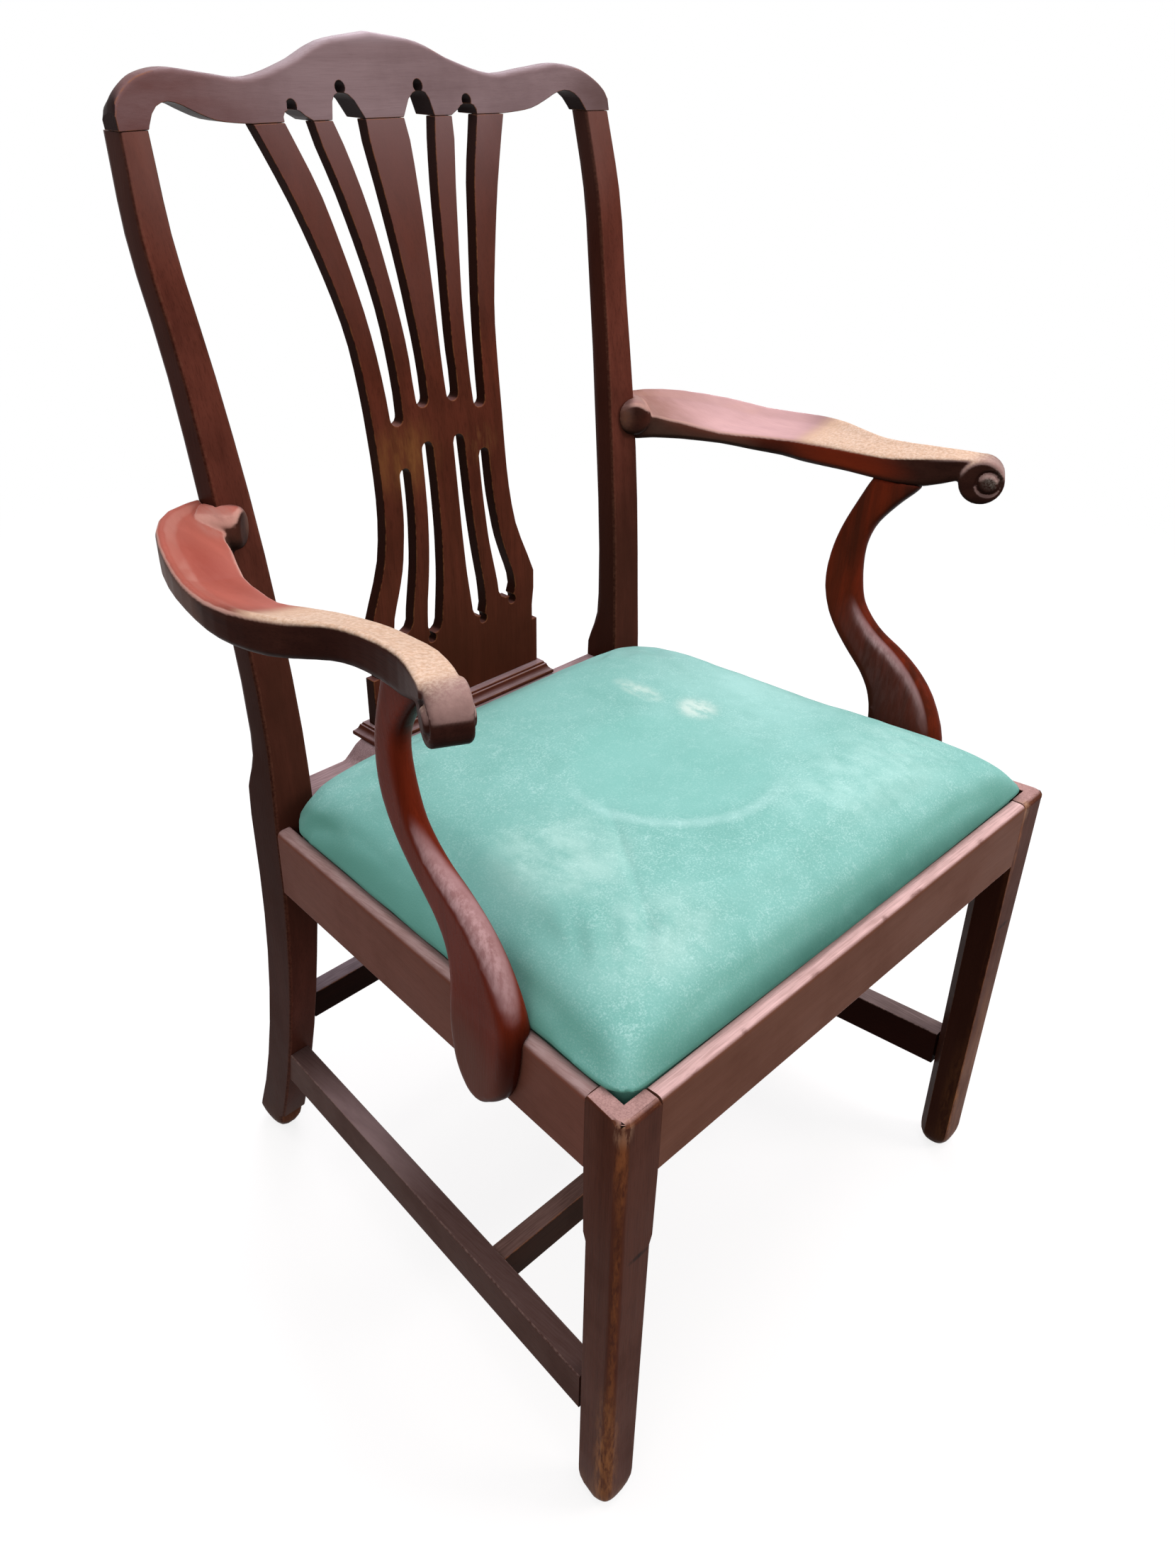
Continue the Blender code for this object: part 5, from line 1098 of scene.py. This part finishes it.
@dataclass
class DropInSeat:
    """Loose seat: beech bars, woven webbing, hessian and the stuffed cushion in its green cover.

    Heights are counted from the ledge under the seat. A span says where a change starts and where it ends.
    """

    base_front: float = 0.4143
    base_slope: float = -0.03935
    front_edge: float = -0.2765
    rear_limit: float = 0.1540
    half_front: float = 0.2715
    half_fall: float = 0.0465
    rail_run: float = 0.432
    side_gap: float = 0.0153
    stack_top: float = 0.0213
    flange: float = 0.0165
    flange_thickness: float = 0.0013
    bar_room: float = 0.0004
    opening_floor: float = -0.02
    bar_middle: float = 0.008
    voxel: float = 0.005
    slack: float = 0.0025
    slack_span: Span = (0.018, 0.035)
    held_below: float = 0.0195
    loose_above: float = 0.0215
    pressure: float = 3.0
    frames: int = 20
    most_swell: float = 0.006
    eased: int = 7
    web_thickness: float = 0.0012
    web_wave: float = 0.00095
    web_level: float = 0.01835
    web_steps: tuple[int, int] = (72, 8)
    hessian_thickness: float = 0.0008
    hessian_under: float = 0.0006
    hessian_ripple: float = 0.00012
    cover_front: float = -0.2617
    corner_round: float = 0.024
    corner_eased: int = 30
    corner_span: Span = (0.11, 0.03)
    bar_inset: float = 0.0030
    overhang: float = 0.0065
    overhang_span: Span = (0.0160, 0.0205)
    overhang_end: float = 0.085
    overhang_fall: float = 0.0645
    rear_lift: float = 0.0105
    rear_overhang: float = 0.0050
    rear_rise: Span = (0.4425, 0.4475)
    rear_span: Span = (0.18, 0.13)
    top_span: Span = (0.035, 0.055)
    side_span: Span = (0.016, 0.024)
    side_end: Span = (0.055, 0.035)
    lumps: float = 0.0010
    fine_lumps: float = 0.0004
    ripple: float = 0.0007
    lift_span: Span = (0.022, 0.040)
    crease: tuple[Span, Span] = ((-0.074, -0.074), (-0.163, -0.197))
    crease_depth: float = 0.0016
    crease_width: float = 0.0035
    dip: Point = (0.004, -0.074, 0.0025)
    dip_span: Span = (0.11, 0.03)
    side_angle: float = 50.0

    def base(self, y: float) -> float:
        """Height of the ledge under the seat at a depth."""
        return self.base_front + self.base_slope * (y - self.front_edge)

    def side_limit(self, y: float) -> float:
        """Half width of the seat at a depth, inside the rails."""
        return self.half_front - self.half_fall * (y - self.front_edge) / self.rail_run - self.side_gap

    def build(self) -> None:
        """Make and dress every piece of the seat."""
        self.bars()
        self.webbing()
        self.hessian()
        self.cushion()

    def bars(self) -> None:
        """Dress the four bars of the seat's own frame."""
        wood = RigidPieces(body=SEAT_BODY, slot=Slot.BEECH, prefix="sawn")
        across = SawnBeech("sawn_beech_cross_bars", Grain.ACROSS).material()
        deep = SawnBeech("sawn_beech_side_bars", Grain.DEEP).material()
        for node, material in zip(SEAT_BARS, (across, across, deep, deep)):
            piece = wood.dress(node, material)
            for vert in piece.data.vertices:
                self.turn_bar_corner(vert.co)

    @staticmethod
    def woven(name: str, bm: Mesh, material: Material, thickness: float) -> Piece:
        """Make a woven sheet from a flat mesh.

        Args:
            name: Name of the sheet.
            bm: Its middle face.
            material: Its finish.
            thickness: Its thickness.

        Returns:
            The sheet.
        """
        piece = add_piece(name, bm, material)
        piece.data.shade_smooth()
        thick = piece.modifiers.new("thickness", "SOLIDIFY")
        thick.thickness = thickness
        thick.offset = 0
        return piece

    def strip(self, node: str, along: int, wave: list[Span], material: Material) -> None:
        """Make one webbing strip that passes over and under the strips across it.

        Args:
            node: Name of the solid that it stands for.
            along: Axis that it runs along, 0 for X or 1 for Y.
            wave: Places of the strips across it, each with 1 for over or -1 for under.
            material: Finish of the strip.
        """
        low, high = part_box(node)
        size = high - low
        bm = bmesh.new()
        x_steps, y_steps = self.web_steps[along], self.web_steps[1 - along]
        bmesh.ops.create_grid(bm, x_segments=x_steps, y_segments=y_steps, size=1.0)
        spread = Matrix.LocRotScale((low + high) / 2, None, (size.x / 2, size.y / 2, 0))
        bmesh.ops.transform(bm, matrix=spread, verts=bm.verts)
        for vert in bm.verts:
            place = vert.co[along]
            nearest = sorted(wave, key=lambda crossing: abs(crossing[0] - place))[:2]
            gaps = [abs(place - crossing[0]) for crossing in nearest]
            share = smooth_share(gaps[0] / max(sum(gaps), 1e-6), 0.0, 1.0)
            lift = nearest[0][1] * (1 - share) + nearest[1][1] * share
            vert.co.z = self.base(vert.co.y) + self.web_level + self.web_wave * lift
        piece = self.woven(f"woven_{node}", bm, material, self.web_thickness)
        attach(piece, SEAT_BODY)
        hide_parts(node)
        LOG.info("%s: %.0f mm long", piece.name, size[along] * 1000)

    def webbing(self) -> None:
        """Weave the six strips through each other."""
        jute = WovenFlax("jute_webbing_plain_woven", "a58a5c", "4c3a24", 0.0010).material()
        cross = ("webbing_cross_front", "webbing_cross_middle", "webbing_cross_back")
        long = ("webbing_long_left", "webbing_long_middle", "webbing_long_right")
        cross_places = [(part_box(n)[0].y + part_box(n)[1].y) / 2 for n in cross]
        long_places = [(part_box(n)[0].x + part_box(n)[1].x) / 2 for n in long]
        for i, node in enumerate(cross):
            self.strip(node, 0, [(x, 1 if (i + j) % 2 else -1) for j, x in enumerate(long_places)], jute)
        for j, node in enumerate(long):
            self.strip(node, 1, [(y, -1 if (i + j) % 2 else 1) for i, y in enumerate(cross_places)], jute)

    def hessian(self) -> None:
        """Stretch the hessian over the webbing."""
        low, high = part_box("hessian")
        depth = high.y - low.y
        taper = (self.side_limit(high.y) - self.side_limit(low.y)) / depth
        bm = bmesh.new()
        bmesh.ops.create_grid(bm, x_segments=48, y_segments=40, size=1.0)
        for vert in bm.verts:
            y = low.y + depth * (vert.co.y + 1) / 2
            x = vert.co.x * (high.x + taper * (y - low.y))
            ripple = self.hessian_ripple * noise.noise(Vector((x, y, 0)) * 28)
            vert.co = (x, y, self.base(y) + self.stack_top - self.hessian_under + ripple)
        jute = WovenFlax("hessian_plain_woven_jute", "9c855c", "54442c", 0.0016).material()
        piece = self.woven("stretched_hessian", bm, jute, self.hessian_thickness)
        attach(piece, SEAT_BODY)
        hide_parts("hessian")

    @staticmethod
    def hull(*nodes: str) -> Mesh:
        """Wrap solids in one tight convex form.

        Args:
            nodes: Names of the solids.

        Returns:
            The closed form.
        """
        bm = bmesh.new()
        for node in nodes:
            bm.from_mesh(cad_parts[node].data)
        bmesh.ops.delete(bm, geom=bm.faces[:] + bm.edges[:], context="EDGES_FACES")
        bmesh.ops.remove_doubles(bm, verts=bm.verts, dist=WELD)
        made = bmesh.ops.convex_hull(bm, input=bm.verts)
        spare = made["geom_interior"] + made["geom_unused"]
        loose = {item for item in spare if isinstance(item, bmesh.types.BMVert)}
        bmesh.ops.delete(bm, geom=list(loose), context="VERTS")
        bmesh.ops.recalc_face_normals(bm, faces=bm.faces)
        return bm

    def cushion(self) -> None:
        """Stuff, shape and hollow the cushion, then dress it in green cloth."""
        piece = add_piece("seat_cushion", self.hull("seat_cover"))
        even_faces(piece, self.voxel)
        self.draw_in(piece)
        self.stuff(piece)
        finer = piece.modifiers.new("finer", "SUBSURF")
        finer.levels = 1
        finer.render_levels = 1
        settle(piece)
        self.pull_cloth(piece)
        self.hollow(piece)
        piece.data.materials.clear()
        piece.data.materials.append(GreenSuede().material())
        piece.data.shade_smooth()
        piece.data.set_sharp_from_angle(angle=math.radians(self.side_angle))
        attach(piece, SEAT_BODY)
        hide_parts("seat_cover", "seat_pad")
        LOG.info("%s: %d faces", piece.name, len(piece.data.polygons))

    def draw_in(self, piece: Piece) -> None:
        """Shrink the part above the rails a little, so that the stuffing can swell it again."""
        moves = [(v, v.normal.copy()) for v in piece.data.vertices]
        for vert, normal in moves:
            height = vert.co.z - self.base(vert.co.y)
            vert.co -= normal * self.slack * smooth_share(height, *self.slack_span)

    def stuff(self, piece: Piece) -> None:
        """Swell the cushion with cloth simulation, held along the rails, then ease it."""
        held = piece.vertex_groups.new(name="held")
        low = [v.index for v in piece.data.vertices if v.co.z - self.base(v.co.y) < self.held_below]
        held.add(low, 1.0, "REPLACE")
        start = [v.co.copy() for v in piece.data.vertices]
        cloth = piece.modifiers.new("stuffing", "CLOTH")
        cloth.settings.use_pressure = True
        cloth.settings.uniform_pressure_force = self.pressure
        cloth.settings.effector_weights.gravity = 0
        cloth.settings.vertex_group_mass = held.name
        cloth.point_cache.frame_start = 1
        cloth.point_cache.frame_end = self.frames
        scene = bpy.context.scene
        for step in range(1, self.frames + 1):
            scene.frame_set(step)
        settle(piece)
        scene.frame_set(1)
        piece.vertex_groups.clear()
        for vert, old in zip(piece.data.vertices, start):
            move = vert.co - old
            if move.length > self.most_swell:
                vert.co = old + move * (self.most_swell / move.length)
        loose = piece.vertex_groups.new(name="loose")
        corners = piece.vertex_groups.new(name="corners")
        half = self.side_limit(self.cover_front)
        for vert in piece.data.vertices:
            if vert.co.z - self.base(vert.co.y) > self.loose_above:
                gap = math.hypot(abs(vert.co.x) - half, vert.co.y - self.cover_front)
                loose.add([vert.index], 1.0, "REPLACE")
                corners.add([vert.index], smooth_share(gap, *self.corner_span), "REPLACE")
        for group, passes in ((loose, self.eased), (corners, self.corner_eased)):
            ease = piece.modifiers.new(f"ease_{group.name}", "SMOOTH")
            ease.iterations = passes
            ease.vertex_group = group.name
        settle(piece)
        piece.vertex_groups.clear()

    def sunk(self, x: float, y: float) -> float:
        """Depth of the crease and of the worn dip at a place on top of the cushion.

        Args:
            x: Place across.
            y: Place in depth.

        Returns:
            The depth in metres.
        """
        first, last = (Vector(end) for end in self.crease)
        way = last - first
        place = Vector((x, y))
        share = min(max((place - first).dot(way) / way.length_squared, 0.0), 1.0)
        off = (place - (first + way * share)).length
        fade = math.sin(math.pi * (0.1 + 0.8 * share))
        crease = self.crease_depth * fade * math.exp(-((off / self.crease_width) ** 2))
        dip_x, dip_y, dip_depth = self.dip
        return crease + dip_depth * smooth_share(math.hypot(x - dip_x, y - dip_y), *self.dip_span)

    def pull_cloth(self, piece: Piece) -> None:
        """Press in the dip and the crease, ripple the cloth and pull it over the edges."""
        for vert in piece.data.vertices:
            x, y, z = vert.co
            height = z - self.base(y)
            top = smooth_share(height, *self.top_span)
            uneven = self.lumps * noise.noise(Vector((x, y, 0)) * 17)
            uneven += self.fine_lumps * noise.noise(Vector((x, y, 3)) * 48)
            side = smooth_share(height, *self.side_span) * smooth_share(height, *self.side_end)
            pull = self.ripple * noise.noise(Vector((x * 42, y * 42, 5))) * side
            slope = min(max((self.overhang_end - height) / self.overhang_fall, 0.0), 1.0)
            beyond = self.overhang * smooth_share(height, *self.overhang_span) * slope
            centre = Vector((x, y + 0.05, 0)).normalized()
            rear = smooth_share(y, -0.10, 0.13) * (0.5 + 0.5 * smooth_share(x, -0.25, -0.12))
            lift = self.rear_lift * rear * smooth_share(height, *self.lift_span)
            vert.co.z += top * (uneven - self.sunk(x, y)) + lift
            vert.co += centre * (pull + beyond)
            over = smooth_share(vert.co.z, *self.rear_rise) * smooth_share(abs(x), *self.rear_span)
            behind = self.rear_overhang * over
            vert.co.y = min(vert.co.y, self.rear_limit + behind)
            self.turn_corner(vert.co, beyond, self.corner_round + beyond, behind)

    def turn_corner(self, point: Vector, beyond: float, radius: float, behind: float) -> None:
        """Draw a point near a corner of the seat in to a round corner.

        Args:
            point: Point to move.
            beyond: Distance of the front and side edges outside those of the cover's rim.
            radius: Radius of the corner.
            behind: Distance of the rear edge outside that of the cover's rim.
        """
        back = point.y - (self.rear_limit + behind - radius)
        front = self.cover_front - beyond + radius - point.y
        off = Vector((abs(point.x) - (self.side_limit(point.y) + beyond - radius), max(front, back)))
        if min(off) > 0 and off.length > radius:
            move = off * (1 - radius / off.length)
            point.x -= math.copysign(move.x, point.x)
            point.y += math.copysign(move.y, -point.y)

    def turn_bar_corner(self, point: Vector) -> None:
        """Draw a point of the bars in to the round corner inside the cover."""
        self.turn_corner(point, -self.bar_inset, self.corner_round - self.bar_inset, -self.bar_inset)

    def hollow(self, piece: Piece) -> None:
        """Cut the room for the bars and the opening under the webbing."""
        cutters = []
        for name, inset, floor in (
            ("bar_room", -self.bar_room, self.flange_thickness), ("opening", self.flange, self.opening_floor),
        ):
            bm = self.hull(*SEAT_BARS)
            low, high = (Vector([pick(v.co[i] for v in bm.verts) for i in range(3)]) for pick in (min, max))
            middle = (low + high) / 2
            half = (high - low) / 2
            for vert in bm.verts:
                self.turn_bar_corner(vert.co)
                height = vert.co.z - self.base(vert.co.y)
                vert.co.x *= (half.x - inset) / half.x
                vert.co.y = middle.y + (vert.co.y - middle.y) * (half.y - inset) / half.y
                vert.co.z = self.base(vert.co.y) + (self.stack_top if height > self.bar_middle else floor)
            cutters.append(add_piece(name, bm))
            cut = piece.modifiers.new(name, "BOOLEAN")
            cut.operation = "DIFFERENCE"
            cut.solver = "EXACT"
            cut.object = cutters[-1]
        settle(piece)
        for cutter in cutters:
            bpy.data.objects.remove(cutter)


@dataclass
class Studio:
    """Floor, soft light and the camera at the photograph's place."""

    image: tuple[int, int] = (1658, 2212)
    focal: float = 1736.7
    place: Point = (-0.664, -0.6095, 0.991)
    azimuth: float = -46.78
    elevation: float = 31.84
    roll: float = 1.27
    floor_radius: float = 60.0
    floor_grey: str = "8a8886"
    floor_span: Span = (0.9, 2.4)
    floor_glow: float = 0.80
    sky_high: str = "f0eff4"
    sky_low: str = "5c5a5e"
    white: str = "ffffff"
    black: str = "000000"
    aim: Point = (0, 0, 0.45)
    lamps: dict[str, tuple[Point, float, float, str]] = field(default_factory=lambda: {
        "overhead_softbox": ((0.3, 0.0, 3.0), 2.0, 32.0, "fdfbff"),
        "back_softbox": ((1.6, 1.9, 2.5), 1.4, 26.0, "f3ecfb"),
        "front_softbox": ((1.5, -2.1, 1.97), 0.9, 26.0, "fff6f4"),
        "left_softbox": ((-2.1, -1.3, 1.7), 1.6, 12.0, "fff8f4"),
    })

    def build(self) -> None:
        """Set up the whole studio."""
        bpy.context.scene.view_settings.view_transform = "Standard"
        self.camera()
        self.floor()
        self.world()
        for name, (place, size, power, colour) in self.lamps.items():
            self.lamp(name, place, size, power, colour)

    def camera(self) -> None:
        """Place the camera as the photograph was taken."""
        turn = math.radians(self.azimuth)
        rise = math.radians(self.elevation)
        lean = math.radians(self.roll)
        back = Vector((math.sin(turn) * math.cos(rise), -math.cos(turn) * math.cos(rise), math.sin(rise)))
        right = Vector((0, 0, 1)).cross(back).normalized()
        up = back.cross(right)
        across = math.cos(lean) * right + math.sin(lean) * up
        over = math.cos(lean) * up - math.sin(lean) * right
        data = bpy.data.cameras.new("photo_camera")
        data.sensor_fit = "AUTO"
        data.sensor_width = 36.0
        data.lens = data.sensor_width * self.focal / max(self.image)
        camera = bpy.data.objects.new("photo_camera", data)
        turned = Matrix((across, over, back)).transposed().to_4x4()
        camera.matrix_world = Matrix.Translation(self.place) @ turned
        bpy.context.scene.collection.objects.link(camera)
        bpy.context.scene.camera = camera

    @staticmethod
    def seen(nodes: Nodes) -> Socket:
        """Share that the eye, a shiny face or a clear one sees.

        Args:
            nodes: Node tree of the floor or the world.

        Returns:
            Socket that is 1 for those rays.
        """
        path = add_node(nodes.tree, "ShaderNodeLightPath").outputs
        shiny = nodes.calc("MAXIMUM", path["Is Glossy Ray"], path["Is Transmission Ray"])
        return nodes.calc("MAXIMUM", path["Is Camera Ray"], shiny)

    def floor(self) -> None:
        """Lay a wide pale floor that keeps the shadow and fades to white far off."""
        bm = bmesh.new()
        bmesh.ops.create_circle(bm, cap_ends=True, segments=64, radius=self.floor_radius)
        paint = Surface("pale_matt_floor_paint")
        fade = paint.spread(paint.vector("LENGTH", paint.coords), *self.floor_span, eased=True)
        glow = paint.calc("MULTIPLY", self.seen(paint), paint.spread(fade, 0.0, 1.0, self.floor_glow, 1.0))
        floor = add_piece("studio_floor", bm, paint.finish({
            "Base Color": paint.mix(fade, self.floor_grey, self.black), "Roughness": 0.95,
            "Specular IOR Level": 0.0, "Emission Color": linear(self.white), "Emission Strength": glow,
        }))

    def world(self) -> None:
        """Light the room from a plain sky that is brighter overhead and white to the eye."""
        world = bpy.data.worlds.new("soft_sky")
        world.use_nodes = True
        bpy.context.scene.world = world
        nodes = Nodes(world.node_tree)
        way = add_node(nodes.tree, "ShaderNodeTexCoord").outputs["Generated"]
        rise = add_node(nodes.tree, "ShaderNodeSeparateXYZ", {0: way}).outputs[2]
        sky = nodes.mix(nodes.spread(rise, -0.1, 0.9), self.sky_low, self.sky_high)
        shown = nodes.mix(self.seen(nodes), sky, self.white)
        plug(nodes.tree, nodes.tree.nodes["Background"], {"Color": shown, "Strength": 1.0})

    def lamp(self, name: str, place: Point, size: float, power: float, colour: str) -> None:
        """Hang one softbox that faces the chair.

        Args:
            name: Name of the lamp.
            place: Where it hangs.
            size: Side of its square face.
            power: Watts.
            colour: sRGB hex.
        """
        data = bpy.data.lights.new(name, "AREA")
        data.shape = "SQUARE"
        data.size = size
        data.energy = power
        data.color = linear(colour)[:3]
        lamp = bpy.data.objects.new(name, data)
        way = Vector(self.aim) - Vector(place)
        lamp.matrix_world = Matrix.Translation(place) @ way.to_track_quat("-Z", "Y").to_matrix().to_4x4()
        bpy.context.scene.collection.objects.link(lamp)


def main() -> None:
    """Build every sub-assembly in order, then the studio."""
    logging.basicConfig(level=logging.INFO, format="%(message)s")
    for assembly in (SeatFrame(), Underframe(), ChairBack(), Arms(), DropInSeat(), Studio()):
        assembly.build()
        LOG.info("%s done", type(assembly).__name__)


if __name__ == "__main__":
    main()
